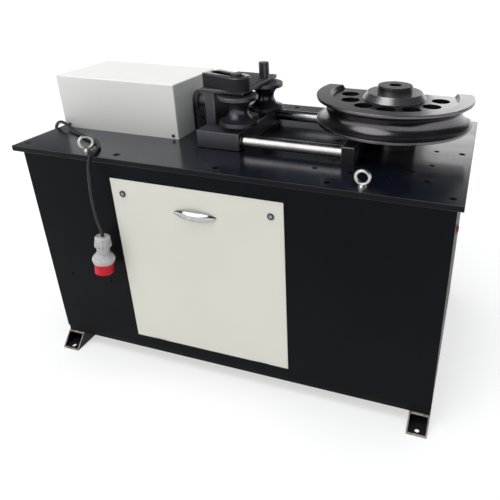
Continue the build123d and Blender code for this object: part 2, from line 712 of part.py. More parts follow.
def panel_handle():
    """A bow whose band narrows towards both ends, on two round feet."""
    z = PANEL_TOP - HANDLE_DROP
    half = HANDLE_LENGTH / 2
    y0, tip = PANEL_FRONT_Y, PANEL_FRONT_Y - HANDLE_RISE
    inner_half = half - 2 * HANDLE_BAND
    outer = ThreePointArc((PANEL_X - half, y0), (PANEL_X, tip), (PANEL_X + half, y0))
    inner = ThreePointArc((PANEL_X + inner_half, y0), (PANEL_X, tip + HANDLE_BAND),
                          (PANEL_X - inner_half, y0))
    ends = [Line(outer @ 1, inner @ 0), Line(inner @ 1, outer @ 0)]
    profile = make_face([outer, inner] + ends)
    band = Pos(0, 0, z) * extrude(profile, HANDLE_HEIGHT, both=True)
    front = Plane((PANEL_X, y0, z), x_dir=(1, 0, 0), z_dir=(0, -1, 0))
    lens = front * Ellipse(half + HANDLE_BAND, HANDLE_HEIGHT / 2)
    handle = band & extrude(lens, HANDLE_RISE + CUT_PAST, both=True)
    for side in (-1, 1):
        x = PANEL_X + side * HANDLE_FOOT_X
        handle += round_y(x, y0 - HANDLE_FOOT_LENGTH, y0, z, HANDLE_FOOT_R)
    return handle


def cam_front_y():
    """Y of the lock cams' front face, just behind the front wall."""
    return FRONT + SHEET + CAM_GAP


def lock_case(x, z):
    """The fixed sleeve of a lock, with its flange on the panel's face."""
    barrel_end = cam_front_y() - LOCK_PLAY
    case = round_y(x, PANEL_FRONT_Y - LOCK_HEAD_T, PANEL_FRONT_Y, z, LOCK_HEAD_R)
    case += round_y(x, PANEL_FRONT_Y, barrel_end, z, LOCK_BARREL_R)
    return case - round_y(x, PANEL_FRONT_Y - LOCK_HEAD_T, barrel_end, z, LOCK_PLUG_R + LOCK_PLAY)


def lock_plug(x, z):
    """The turning plug of a lock, with a key slot and the cam that hangs down while it is open."""
    front = PANEL_FRONT_Y - LOCK_HEAD_T
    cam_y = cam_front_y()
    plug = round_y(x, front, cam_y + CAM_THICK, z, LOCK_PLUG_R)
    plug -= block(x - LOCK_SLOT / 2, x + LOCK_SLOT / 2, front, front + LOCK_SLOT,
                  z - LOCK_PLUG_R, z + LOCK_PLUG_R)
    plug += round_y(x, cam_y, cam_y + CAM_THICK, z, CAM_WIDTH / 2)
    plug += block(x - CAM_WIDTH / 2, x + CAM_WIDTH / 2, cam_y, cam_y + CAM_THICK, z - CAM_LENGTH, z)
    return plug


# Push buttons

def button_bezel(y):
    """The fixed part of a button: bezel, barrel through the wall and contact block."""
    back = CABINET_RIGHT - BUTTON_BARREL_LENGTH
    front = CABINET_RIGHT + BEZEL_T
    bezel = round_x(CABINET_RIGHT, front, y, BUTTON_Z, BEZEL_R)
    bezel += round_x(back, CABINET_RIGHT, y, BUTTON_Z, BUTTON_BARREL_R)
    bezel -= round_x(back, front, y, BUTTON_Z, BUTTON_R + BUTTON_PLAY)
    half = CONTACT_BLOCK / 2
    return bezel + block(back - CONTACT_BLOCK, back, y - half, y + half, BUTTON_Z - half, BUTTON_Z + half)


def button_cap(y):
    """The cap that travels in the barrel."""
    inner = CABINET_RIGHT - BUTTON_BARREL_LENGTH + BUTTON_TRAVEL + BUTTON_PLAY
    outer = CABINET_RIGHT + BEZEL_T + BUTTON_PROUD
    cap = round_x(inner, outer, y, BUTTON_Z, BUTTON_R)
    return fillet(cap.edges().sort_by(Axis.X)[-1], BUTTON_EDGE)


# Cylinder, its supports and the cover

def cylinder_barrel():
    """The tube with two oil ports underneath."""
    radius = CYLINDER_BORE_R + CYLINDER_WALL
    barrel = round_x(CYLINDER_LEFT, CYLINDER_RIGHT, AXIS_Y, CYLINDER_Z, radius)
    for x in port_places():
        barrel += round_z(x, AXIS_Y, CYLINDER_Z - radius - PORT_LENGTH, CYLINDER_Z, PORT_R)
    return barrel - round_x(CYLINDER_LEFT, CYLINDER_RIGHT, AXIS_Y, CYLINDER_Z, CYLINDER_BORE_R)


def cylinder_rear_cap():
    """The closed end of the cylinder, with a spigot in its bore."""
    cap = round_x(CYLINDER_LEFT - CAP_THICK, CYLINDER_LEFT, AXIS_Y, CYLINDER_Z, CAP_R)
    return cap + round_x(CYLINDER_LEFT, CYLINDER_LEFT + CAP_SPIGOT, AXIS_Y, CYLINDER_Z,
                         CYLINDER_BORE_R - PRESS_FIT)


def cylinder_gland():
    """The front head, whose nose goes out through the cover and carries the rod."""
    inner = CYLINDER_RIGHT - GLAND_SPIGOT
    flange_end = CYLINDER_RIGHT + CAP_THICK
    gland = round_x(CYLINDER_RIGHT, flange_end, AXIS_Y, CYLINDER_Z, CAP_R)
    gland += round_x(inner, CYLINDER_RIGHT, AXIS_Y, CYLINDER_Z, CYLINDER_BORE_R - PRESS_FIT)
    gland += round_x(flange_end, NOSE_END, AXIS_Y, CYLINDER_Z, NOSE_R)
    return gland - round_x(inner, NOSE_END, AXIS_Y, CYLINDER_Z, PISTON_ROD_R + RUNNING_FIT)


def front_support():
    """The upright foot in front of the cover that carries the cylinder's nose."""
    x1 = NOSE_END - NOSE_PROUD
    x0 = x1 - SUPPORT_THICK
    plate = round_x(x0, x1, AXIS_Y, CYLINDER_Z, NOSE_R + SUPPORT_RIM)
    plate += block(x0, x1, AXIS_Y - SUPPORT_NECK / 2, AXIS_Y + SUPPORT_NECK / 2, TABLE_TOP, CYLINDER_Z)
    plate -= round_x(x0, x1, AXIS_Y, CYLINDER_Z, NOSE_R + PRESS_FIT)
    return plate - round_x(x0, x1, AXIS_Y, TABLE_TOP + SUPPORT_HOLE_Z, SUPPORT_HOLE_D / 2)


def rear_support():
    """The saddle under the rear cap."""
    x0, x1 = CYLINDER_LEFT - CAP_THICK, CYLINDER_LEFT
    saddle = block(x0, x1, AXIS_Y - REAR_SUPPORT_HALF, AXIS_Y + REAR_SUPPORT_HALF, TABLE_TOP, CYLINDER_Z)
    return saddle - round_x(x0, x1, AXIS_Y, CYLINDER_Z, CAP_R + PRESS_FIT)


def piston_left():
    """X of the piston's rear face with the carriage drawn back."""
    return CYLINDER_LEFT + CAP_SPIGOT + PISTON_START


def piston():
    """The piston, screwed on the end of its rod."""
    x0 = piston_left()
    ring = round_x(x0, x0 + PISTON_LENGTH, AXIS_Y, CYLINDER_Z, CYLINDER_BORE_R - RUNNING_FIT)
    return ring - round_x(x0, x0 + PISTON_LENGTH, AXIS_Y, CYLINDER_Z, ROD_THREAD_R + PRESS_FIT)


def piston_rod():
    """The rod from the piston to the carriage's upright, threaded at both ends."""
    x0 = piston_left()
    rod = round_x(x0, x0 + PISTON_LENGTH, AXIS_Y, CYLINDER_Z, ROD_THREAD_R)
    rod += round_x(x0 + PISTON_LENGTH, BASE_LEFT, AXIS_Y, CYLINDER_Z, PISTON_ROD_R)
    return rod + round_x(BASE_LEFT, UPRIGHT_RIGHT, AXIS_Y, CYLINDER_Z, ROD_THREAD_R)


def cover_screw_places():
    """X of each cover screw, and -1 for the front face or 1 for the rear one."""
    xs = (COVER_LEFT + COVER_SCREW_INSET, COVER_RIGHT - COVER_SCREW_INSET)
    return [(x, side) for x in xs for side in (-1, 1)]


def folded_box(inset, bend_r):
    """The cover's outer form, or its hollow, with rounded folds everywhere but at the bottom."""
    half = COVER_HALF - inset
    box = block(COVER_LEFT + inset, COVER_RIGHT - inset, AXIS_Y - half, AXIS_Y + half,
                TABLE_TOP, COVER_TOP - inset)
    return fillet(box.edges().filter_by(Axis.Z) + box.edges().group_by(Axis.Z)[-1], bend_r)


def cylinder_cover():
    """The folded sheet cover, open underneath, with a slot for the cylinder's nose."""
    cover = folded_box(0, COVER_BEND_R) - folded_box(COVER_SHEET, COVER_BEND_R - COVER_SHEET)
    wall = COVER_RIGHT - COVER_SHEET
    slot_r = NOSE_R + COVER_HOLE_PLAY
    cover -= round_x(wall, COVER_RIGHT, AXIS_Y, CYLINDER_Z, slot_r)
    cover -= block(wall, COVER_RIGHT, AXIS_Y - slot_r, AXIS_Y + slot_r, TABLE_TOP, CYLINDER_Z)
    for x, side in cover_screw_places():
        face_y = AXIS_Y + side * COVER_HALF
        cover -= round_y(x, face_y - COVER_SHEET, face_y + COVER_SHEET, TABLE_TOP + COVER_SCREW_Z,
                         COVER_SCREW_D / 2 + HOLE_PLAY)
    return cover


def cover_fixing(x, side):
    """A tab on the table behind the cover's sheet, and the screw into it."""
    sheet_face = AXIS_Y + side * COVER_HALF
    tab_face = AXIS_Y + side * (COVER_HALF - COVER_SHEET - SEAT_GAP)
    tab_back = tab_face - side * COVER_TAB
    head_face = sheet_face + side * COVER_SCREW_HEAD_T
    half = COVER_TAB / 2
    z = TABLE_TOP + COVER_SCREW_Z
    fixing = block(x - half, x + half, *sorted((tab_back, tab_face)), TABLE_TOP, z + COVER_SCREW_Z)
    fixing += round_y(x, *sorted((tab_face, sheet_face)), z, COVER_SCREW_D / 2)
    return fixing + round_y(x, *sorted((sheet_face, head_face)), z, COVER_SCREW_HEAD_D / 2)


# Carriage

def slot_way():
    """Unit vector of the front roller's adjusting slot, towards its forward end."""
    angle = math.radians(SLOT_ANGLE)
    return Vector(math.cos(angle), math.sin(angle), 0)


def slot_cut(z0, z1, radius, back):
    """The straight slot that the front pin slides in, from its reach behind the pin forward."""
    length = back + SLOT_FORWARD
    middle = Vector(FRONT_ROLLER_X, FRONT_ROLLER_Y, z0) + slot_way() * (SLOT_FORWARD - length / 2)
    face = SlotCenterToCenter(length, 2 * radius)
    return extrude(Pos(middle) * Rot(0, 0, SLOT_ANGLE) * face, z1 - z0)


def carriage_base():
    """The sliding block with bores for the guide bushes and seats for both pins."""
    z0 = TABLE_TOP + BASE_LIFT
    base = block(BASE_LEFT, BASE_RIGHT, AXIS_Y - BASE_HALF, AXIS_Y + BASE_HALF, z0, BASE_TOP)
    base = chamfer(base.edges().filter_by(Axis.Z), EDGE)
    for side in (-1, 1):
        base -= round_x(BASE_LEFT, BASE_RIGHT, AXIS_Y + side * ROD_HALF_SPACING, ROD_Z,
                        ROD_R + GUIDE_BUSH_WALL + PRESS_FIT)
    seat = BASE_TOP - PIN_SEAT
    base -= slot_cut(seat - PIN_PLAY, BASE_TOP, PIN_R + PIN_PLAY, BASE_SLOT_BACK)
    return base - round_z(REAR_ROLLER_X, REAR_ROLLER_Y, seat, BASE_TOP, PIN_R + PRESS_FIT)


def guide_bush(side):
    """A flanged bush in the carriage, running on one guide rod."""
    y = AXIS_Y + side * ROD_HALF_SPACING
    outer = ROD_R + GUIDE_BUSH_WALL
    bush = round_x(BASE_LEFT, BASE_RIGHT, y, ROD_Z, outer)
    bush += round_x(BASE_RIGHT, BASE_RIGHT + GUIDE_FLANGE_T, y, ROD_Z, outer + GUIDE_FLANGE_RIM)
    return bush - round_x(BASE_LEFT, BASE_RIGHT + GUIDE_FLANGE_T, y, ROD_Z, ROD_R + RUNNING_FIT)


def upright_plate():
    """The thick plate that stands on the base and takes the piston rod."""
    plate = block(BASE_LEFT, UPRIGHT_RIGHT, AXIS_Y - UPRIGHT_HALF, AXIS_Y + UPRIGHT_HALF,
                  BASE_TOP, TOP_PLATE_Z)
    plate = chamfer(plate.edges().filter_by(Axis.Z), EDGE)
    return plate - round_x(BASE_LEFT, UPRIGHT_RIGHT, AXIS_Y, CYLINDER_Z, ROD_THREAD_R + PRESS_FIT)


def top_plate():
    """The plate over the rollers that holds the upper ends of both pins."""
    plate = block(BASE_LEFT, TOP_PLATE_RIGHT, AXIS_Y - TOP_PLATE_FRONT, AXIS_Y + TOP_PLATE_REAR,
                  TOP_PLATE_Z, SLOT_BLOCK_Z)
    plate = chamfer(plate.edges(), TOP_PLATE_EDGE)
    plate -= slot_cut(TOP_PLATE_Z, SLOT_BLOCK_Z, PIN_R + PIN_PLAY, SLOT_BACK)
    return plate - round_z(REAR_ROLLER_X, REAR_ROLLER_Y, TOP_PLATE_Z, SLOT_BLOCK_Z, PIN_HEAD_R + PRESS_FIT)


def slot_block():
    """The block with one round end whose slot guides the front pin."""
    half = PIN_HEAD_R + PIN_PLAY + SLOT_BLOCK_WALL
    start = -SLOT_BACK - PIN_HEAD_R - SLOT_END_WALL
    outline = Pos(SLOT_FORWARD, 0) * Circle(half)
    outline += Pos((start + SLOT_FORWARD) / 2, 0) * Rectangle(SLOT_FORWARD - start, 2 * half)
    place = Pos(FRONT_ROLLER_X, FRONT_ROLLER_Y, SLOT_BLOCK_Z) * Rot(0, 0, SLOT_ANGLE)
    body = extrude(place * outline, SLOT_BLOCK_HEIGHT)
    body -= slot_cut(SLOT_BLOCK_Z, SLOT_BLOCK_Z + SLOT_BLOCK_HEIGHT, PIN_HEAD_R + PIN_PLAY, SLOT_BACK)
    return chamfer(body.edges().group_by(Axis.Z)[-1], EDGE)


def guide_rod(side):
    """A ground rod on which the carriage slides."""
    y = AXIS_Y + side * ROD_HALF_SPACING
    rod = round_x(ROD_LEFT, ROD_BLOCK_RIGHT, y, ROD_Z, ROD_R)
    return chamfer(rod.edges().sort_by(Axis.X)[0], EDGE)


def rod_end_block():
    """The cross block beside the spindle housing that holds both guide rods."""
    body = block(ROD_BLOCK_LEFT, ROD_BLOCK_RIGHT, AXIS_Y - ROD_BLOCK_HALF, AXIS_Y + ROD_BLOCK_HALF,
                 TABLE_TOP, BASE_TOP)
    body = chamfer(body.edges().group_by(Axis.Z)[-1], EDGE)
    for side in (-1, 1):
        body -= round_x(ROD_BLOCK_LEFT, ROD_BLOCK_RIGHT, AXIS_Y + side * ROD_HALF_SPACING, ROD_Z,
                        ROD_R + PRESS_FIT)
    return body - round_z(DIE_X, DIE_Y, TABLE_TOP, BASE_TOP, HOUSING_R + PRESS_FIT)


# Rollers and pins

def grooved(outer_r, lip, inner_r):
    """A turned ring about Z, centred on its pipe groove."""
    half = GROOVE_R + lip
    waist_r = outer_r - GROOVE_DEPTH
    reach = math.sqrt(GROOVE_R ** 2 - (GROOVE_R - GROOVE_DEPTH) ** 2)
    arc = ThreePointArc((outer_r, 0, -reach), (waist_r, 0, 0), (outer_r, 0, reach))
    rest = Polyline([(outer_r, 0, reach), (outer_r, 0, half), (inner_r, 0, half),
                     (inner_r, 0, -half), (outer_r, 0, -half), (outer_r, 0, -reach)])
    ring = revolve(make_face([arc, rest]), Axis.Z)
    rims = ring.edges().filter_by(lambda edge: edge.geom_type == GeomType.CIRCLE
                                  and math.isclose(edge.radius, outer_r))
    return fillet(rims, EDGE)


def roller(x, y):
    """A grooved roller, pressed on its bush."""
    return Pos(x, y, GROOVE_Z) * grooved(ROLLER_R, ROLLER_LIP, PIN_R + ROLLER_BUSH_WALL + PRESS_FIT)


def roller_bush(x, y):
    """The plain bearing in a roller."""
    bush = round_z(x, y, ROLLER_BOTTOM, ROLLER_TOP, PIN_R + ROLLER_BUSH_WALL)
    return bush - round_z(x, y, ROLLER_BOTTOM, ROLLER_TOP, PIN_R + RUNNING_FIT)


def roller_pin(x, y, head_bottom, top):
    """A stepped pin: a thick head above the roller and a thinner stem down into the base."""
    stem = round_z(x, y, BASE_TOP - PIN_SEAT, head_bottom, PIN_R)
    head = round_z(x, y, head_bottom, top, PIN_HEAD_R)
    return chamfer((stem + head).edges().sort_by(Axis.Z)[-1], EDGE)


def collar(x, y):
    """The spacer that the roller turns on."""
    top = ROLLER_BOTTOM - ROLLER_GAP
    return round_z(x, y, BASE_TOP, top, COLLAR_R) - round_z(x, y, BASE_TOP, top, PIN_R + PRESS_FIT)


# Spindle and die

def spindle_top():
    """Height of the spindle's upper end, above the clamp flange."""
    return DIE_FLOOR + CLAMP_HEIGHT + SPINDLE_RISE


def housing_top():
    """Height of the pedestal, just under the spindle's seat flange."""
    return DIE_BOTTOM - SEAT_THICK - THRUST_GAP


def spindle_housing():
    """The round pedestal, its spigot through the table and the screwed flange under the table."""
    bottom = TABLE_TOP - HOUSING_DROP
    half_x, half_y = HOUSING_SCREW_X + HOUSING_FLANGE_EDGE, HOUSING_SCREW_Y + HOUSING_FLANGE_EDGE
    flange_bottom = TABLE_UNDER - HOUSING_FLANGE_THICK
    mid_x, mid_y = housing_flange_middle()
    body = round_z(DIE_X, DIE_Y, TABLE_TOP, housing_top(), HOUSING_R)
    body += round_z(DIE_X, DIE_Y, bottom, TABLE_TOP, HOUSING_SPIGOT_R)
    body += block(mid_x - half_x, mid_x + half_x, mid_y - half_y, mid_y + half_y,
                  flange_bottom, TABLE_UNDER)
    for x, y in housing_screw_places():
        body -= round_z(x, y, flange_bottom, TABLE_UNDER, HOUSING_SCREW_D / 2 + HOLE_PLAY)
    return body - round_z(DIE_X, DIE_Y, bottom, housing_top(), SPINDLE_R + BUSH_WALL + PRESS_FIT)


def spindle_bush(z0):
    """One plain bearing of the spindle."""
    bush = round_z(DIE_X, DIE_Y, z0, z0 + BUSH_LENGTH, SPINDLE_R + BUSH_WALL)
    return bush - round_z(DIE_X, DIE_Y, z0, z0 + BUSH_LENGTH, SPINDLE_R + RUNNING_FIT)


def main_spindle():
    """The shaft that carries the die on its seat flange and the gear at its lower end."""
    shaft = round_z(DIE_X, DIE_Y, GEAR_BOTTOM, spindle_top(), SPINDLE_R)
    shaft = chamfer(shaft.edges().sort_by(Axis.Z)[-1], EDGE)
    shaft += round_z(DIE_X, DIE_Y, DIE_BOTTOM - SEAT_THICK, DIE_BOTTOM, SEAT_R)
    socket_bottom = spindle_top() - SPINDLE_SOCKET_DEPTH
    return shaft - round_z(DIE_X, DIE_Y, socket_bottom, spindle_top(), SPINDLE_SOCKET_R)


def bend_die():
    """The grooved die: more than half a disc, with a raised rim and a row of holes."""
    half = GROOVE_R + DIE_LIP
    body = grooved(DIE_R, DIE_LIP, SPINDLE_R + PRESS_FIT)
    body -= Pos(0, 0, half - DIE_RECESS / 2) * Cone(RIM_INNER_R - RIM_SLOPE, RIM_INNER_R, DIE_RECESS)
    body -= block(-DIE_R, DIE_R, DIE_CUT, DIE_R, -half, half)
    for i in range(DIE_HOLES):
        angle = math.radians(180 + DIE_HOLE_STEP * i)
        x, y = DIE_HOLE_CIRCLE * math.cos(angle), DIE_HOLE_CIRCLE * math.sin(angle)
        body -= round_z(x, y, -half, half, DIE_HOLE_D / 2)
    return Pos(DIE_X, DIE_Y, GROOVE_Z) * body


def die_clamp():
    """The bevelled flange that holds the die down on the spindle."""
    r0, r1 = SPINDLE_R + PRESS_FIT, CLAMP_R - CLAMP_BEVEL
    z0, z1 = DIE_FLOOR, DIE_FLOOR + CLAMP_HEIGHT
    return Pos(DIE_X, DIE_Y, 0) * turned([(r0, z0), (CLAMP_R, z0), (r1, z1), (r0, z1)])


# Gears

def gear_outline(teeth):
    """Points round an involute spur gear, one tooth centred on +X."""
    pitch_r = GEAR_MODULE * teeth / 2
    base_r = pitch_r * math.cos(math.radians(PRESSURE_ANGLE))
    tip_r = pitch_r + GEAR_MODULE
    root_r = pitch_r - ROOT_SHARE * GEAR_MODULE
    low_r = max(base_r, root_r)

    def involute(r):
        roll = math.acos(base_r / r)
        return math.tan(roll) - roll

    half_tooth = math.pi / (2 * teeth) - GEAR_BACKLASH / (4 * pitch_r) + involute(pitch_r)
    flank = [low_r + (tip_r - low_r) * i / FLANK_STEPS for i in range(FLANK_STEPS + 1)]
    points = []
    for tooth in range(teeth):
        middle = 2 * math.pi * tooth / teeth
        rising = [(r, middle - half_tooth + involute(r)) for r in flank]
        falling = [(r, middle + half_tooth - involute(r)) for r in reversed(flank)]
        if low_r > root_r:
            rising.insert(0, (root_r, rising[0][1]))
            falling.append((root_r, falling[-1][1]))
        points += [(r * math.cos(a), r * math.sin(a)) for r, a in rising + falling]
    return points


def spur_gear(teeth, bore_r):
    """A spur gear standing on its own centre."""
    outline = Polyline(gear_outline(teeth), close=True)
    return extrude(make_face(outline) - Circle(bore_r), GEAR_WIDTH)


def bull_gear():
    """The large gear, turned so that one tooth points at the pinion."""
    return Pos(DIE_X, DIE_Y, GEAR_BOTTOM) * Rot(0, 0, 90) * spur_gear(GEAR_TEETH, SPINDLE_R + PRESS_FIT)


def drive_pinion():
    """The small gear and its shaft, turned so that a gap faces the large gear's tooth."""
    turn = 180 / PINION_TEETH - 90
    gear = Pos(DIE_X, PINION_Y, GEAR_BOTTOM) * Rot(0, 0, turn) * spur_gear(PINION_TEETH, PINION_SHAFT_R)
    return gear + round_z(DIE_X, PINION_Y, CASE_BOTTOM - PINION_SHAFT_FIT, GEAR_TOP, PINION_SHAFT_R)


# Gear case, reducer and motor

def gear_case():
    """The open-topped case round the gears, screwed to the table from above."""
    out_x, out_y = CASE_SCREWS_HALF_X + CASE_WALL / 2, CASE_SCREWS_HALF_Y + CASE_WALL / 2
    in_x, in_y = out_x - CASE_WALL, out_y - CASE_WALL
    case = block(CASE_X - out_x, CASE_X + out_x, CASE_Y - out_y, CASE_Y + out_y, CASE_BOTTOM, TABLE_UNDER)
    case -= block(CASE_X - in_x, CASE_X + in_x, CASE_Y - in_y, CASE_Y + in_y, CASE_FLOOR_TOP, TABLE_UNDER)
    case -= round_z(DIE_X, PINION_Y, CASE_BOTTOM, CASE_FLOOR_TOP, PINION_SHAFT_R + PIN_PLAY)
    for x, y in case_screw_places():
        case -= round_z(x, y, TABLE_UNDER - CASE_WALL - CUT_PAST, TABLE_UNDER, CASE_SCREW_D / 2 + HOLE_PLAY)
    return case


def gear_reducer():
    """The reducer's casing under the gear case, with a bearing bore for the pinion's shaft."""
    half_x, half_y = REDUCER_X / 2, REDUCER_Y / 2
    casing = block(DIE_X - half_x, DIE_X + half_x, PINION_Y - half_y, PINION_Y + half_y,
                   REDUCER_BOTTOM, CASE_BOTTOM)
    casing = fillet(casing.edges().filter_by(Axis.Z), REDUCER_EDGE_R)
    bore_bottom = CASE_BOTTOM - PINION_SHAFT_FIT - CUT_PAST
    return casing - round_z(DIE_X, PINION_Y, bore_bottom, CASE_BOTTOM, PINION_SHAFT_R + RUNNING_FIT)


def motor_shape(r, length, fins):
    """A motor along +Z from its mounting face: flange, finned barrel, fan cowl and terminal box."""
    barrel_end = length - FAN_COWL_LENGTH
    motor = round_z(0, 0, 0, MOTOR_FLANGE_THICK, r + MOTOR_FLANGE_RIM)
    motor += round_z(0, 0, MOTOR_FLANGE_THICK, barrel_end, r - FIN_HEIGHT)
    fin = block(-r, r, -FIN_THICK / 2, FIN_THICK / 2, MOTOR_FLANGE_THICK, barrel_end)
    for i in range(fins):
        motor += Rot(0, 0, 180 / fins * i) * fin
    motor += round_z(0, 0, barrel_end, length, r)
    half = TERMINAL_BOX / 2
    middle = (MOTOR_FLANGE_THICK + barrel_end) / 2
    return motor + block(r - FIN_HEIGHT, r - FIN_HEIGHT + TERMINAL_DEPTH, -half, half,
                         middle - half, middle + half)


def drive_motor():
    """The motor on the reducer's left side."""
    z = (REDUCER_BOTTOM + CASE_BOTTOM) / 2
    face = Plane((DIE_X - REDUCER_X / 2, PINION_Y, z), x_dir=(0, -1, 0), z_dir=(-1, 0, 0))
    return face * motor_shape(MOTOR_R, MOTOR_LENGTH, MOTOR_FINS)


# Hydraulic power unit

def oil_tank():
    """The welded tank with its lid plate."""
    half_x, half_y = TANK_LENGTH / 2, TANK_WIDTH / 2
    top = FLOOR_TOP + TANK_HEIGHT
    w = TANK_WALL
    tank = block(TANK_X - half_x, TANK_X + half_x, -half_y, half_y, FLOOR_TOP, top)
    tank -= block(TANK_X - half_x + w, TANK_X + half_x - w, -half_y + w, half_y - w, FLOOR_TOP + w, top)
    return tank + block(TANK_X - half_x - w, TANK_X + half_x + w, -half_y - w, half_y + w, top, LID_TOP)


def pump_motor():
    """The pump's motor, upright on the tank."""
    place = Pos(TANK_X - PUMP_MOTOR_OFFSET_X, PUMP_MOTOR_OFFSET_Y, LID_TOP)
    return place * Rot(0, 0, 90) * motor_shape(PUMP_MOTOR_R, PUMP_MOTOR_HEIGHT, PUMP_MOTOR_FINS)


def valve_x():
    """The manifold stands midway below the cylinder's two ports."""
    return sum(port_places()) / 2


def valve_block():
    """The manifold on the tank, with a solenoid valve across its front."""
    x, half_x, half_y = valve_x(), VALVE_LENGTH / 2, VALVE_WIDTH / 2
    front = AXIS_Y - half_y
    coil_z = LID_TOP + VALVE_HEIGHT / 2
    body = block(x - half_x, x + half_x, front, AXIS_Y + half_y, LID_TOP, LID_TOP + VALVE_HEIGHT)
    spool_half = half_x - COIL_LENGTH
    body += block(x - spool_half, x + spool_half, front - 2 * COIL_R, front, coil_z - COIL_R, coil_z + COIL_R)
    return body + round_x(x - half_x, x + half_x, front - COIL_R, coil_z, COIL_R - COIL_STEP)


def hose(port_x, valve_end_x):
    """One hose from a cylinder port down through the table to the manifold."""
    port_z = CYLINDER_Z - CYLINDER_BORE_R - CYLINDER_WALL - PORT_LENGTH
    valve_z = LID_TOP + VALVE_HEIGHT
    points = [(port_x, AXIS_Y, port_z), (port_x, AXIS_Y, TABLE_UNDER - HOSE_STRAIGHT_TOP),
              (valve_end_x, AXIS_Y, valve_z + HOSE_STRAIGHT_END), (valve_end_x, AXIS_Y, valve_z)]
    path = FilletPolyline(*points, radius=HOSE_BEND_R)
    return sweep(Plane(points[0], z_dir=(0, 0, -1)) * Circle(HOSE_R), path)


# Electrical box

def electrical_box():
    """A closed box on the rear wall, with a lipped door in front."""
    half, w = BOX_WIDTH / 2, BOX_WALL
    y1 = BACK - SHEET
    y0 = y1 - BOX_DEPTH
    z0, z1 = BOX_TOP - BOX_HEIGHT, BOX_TOP
    body = block(BOX_X - half, BOX_X + half, y0, y1, z0, z1)
    body -= block(BOX_X - half + w, BOX_X + half - w, y0 + w, y1 - w, z0 + w, z1 - w)
    return body + block(BOX_X - half - w, BOX_X + half + w, y0 - BOX_DOOR, y0, z0 - w, z1 + w)


# Power cord and plug

def power_cord():
    """The cord as one tube; prints its bend radii and compares its volume with its length."""
    points = [Vector(*point) for point in CORD_ROUTE]
    radii = []
    for before, corner, after in zip(points, points[1:], points[2:]):
        run_in, run_out = corner - before, after - corner
        half_turn = math.radians(run_in.get_angle(run_out)) / 2
        radii.append(CORD_ARC_SHARE * min(run_in.length, run_out.length) / math.tan(half_turn))
    path = FilletPolyline(*points, radius=radii)
    cord = sweep(Plane(points[0], z_dir=points[1] - points[0]) * Circle(CORD_D / 2), path)
    section = math.pi * (CORD_D / 2) ** 2
    print("cord radii", [round(radius) for radius in radii])
    print("cord length", round(path.length, 1), "volume ratio", round(cord.volume / section / path.length, 4))
    return cord


def cable_gland():
    """The gland in the left wall: a thread through the sheet, and a nut that the cord comes out of."""
    x_out, y, z = CORD_ROUTE[0]
    inner = CABINET_LEFT + SHEET + GLAND_INSIDE
    nut = round_x(x_out, CABINET_LEFT, y, z, GLAND_R)
    return nut + round_x(CABINET_LEFT, inner, y, z, GLAND_R - GLAND_STEP)


def plug_plane():
    """The plug's mouth, looking along the plug from the cord's end."""
    before, mouth = Vector(*CORD_ROUTE[-2]), Vector(*CORD_ROUTE[-1])
    return Plane(mouth, x_dir=(1, 0, 0), z_dir=mouth - before)


def plug_face():
    """Distance from the plug's mouth to the face that the pins stand on."""
    return PLUG_NUT_LENGTH + PLUG_NECK_LENGTH + PLUG_FLARE_LENGTH + PLUG_BULGE_LENGTH


def plug_body():
    """The grey handle: ribbed nut, neck and bulge, turned about the plug's axis."""
    neck = PLUG_NUT_LENGTH
    flare = neck + PLUG_NECK_LENGTH
    bulge = flare + PLUG_FLARE_LENGTH
    face = plug_face()
    outline = [
        (0, 0), (PLUG_SEAL_R, 0), (PLUG_SEAL_R, PLUG_DISH_DEPTH), (PLUG_DISH_R, PLUG_DISH_DEPTH),
        (PLUG_DISH_R, 0), (PLUG_NUT_TOP_R - PLUG_NUT_EDGE, 0), (PLUG_NUT_TOP_R, PLUG_NUT_EDGE),
        (PLUG_NUT_R, neck - PLUG_NUT_EDGE), (PLUG_NUT_R - PLUG_NUT_EDGE, neck), (PLUG_NECK_R, neck),
        (PLUG_NECK_R, flare),
    ]
    widen = (PLUG_BULGE_R - PLUG_NECK_R) / PLUG_FLARE_STEPS
    lengthen = PLUG_FLARE_LENGTH / PLUG_FLARE_STEPS
    for i in range(PLUG_FLARE_STEPS):
        outline.append((PLUG_NECK_R + widen * i + PLUG_FLARE_LEDGE, flare + lengthen * i))
        outline.append((PLUG_NECK_R + widen * (i + 1), flare + lengthen * (i + 1)))
    outline.append((PLUG_BULGE_R, bulge + PLUG_BULGE_STRAIGHT))
    outline += [(PLUG_BULGE_R - PLUG_BULGE_DRAFT, face), (0, face)]
    body = turned(outline)
    groove = block(PLUG_NUT_TOP_R, PLUG_NUT_R + CUT_PAST, -PLUG_RIB / 2, PLUG_RIB / 2, PLUG_RIB_START, neck)
    for i in range(PLUG_RIBS):
        body -= Rot(0, 0, 360 / PLUG_RIBS * i) * groove
    return plug_plane() * body


def plug_collar():
    """The red sleeve round the pins, with its key ridge."""
    z0 = plug_face()
    z1 = z0 + PLUG_COLLAR_LENGTH
    sleeve = round_z(0, 0, z0, z1, PLUG_COLLAR_R)
    sleeve += block(-PLUG_COLLAR_R - PLUG_KEY_HEIGHT, 0, -PLUG_KEY_WIDTH / 2, PLUG_KEY_WIDTH / 2, z0, z1)
    return plug_plane() * (sleeve - round_z(0, 0, z0, z1, PLUG_COLLAR_R - PLUG_COLLAR_WALL))


def plug_pin(index):
    """One contact pin, standing short of the sleeve's rim."""
    angle = 2 * math.pi * index / PLUG_PINS
    x, y = PLUG_PIN_CIRCLE * math.cos(angle), PLUG_PIN_CIRCLE * math.sin(angle)
    z0 = plug_face()
    return plug_plane() * round_z(x, y, z0, z0 + PLUG_COLLAR_LENGTH - PLUG_PIN_RECESS, PLUG_PIN_R)


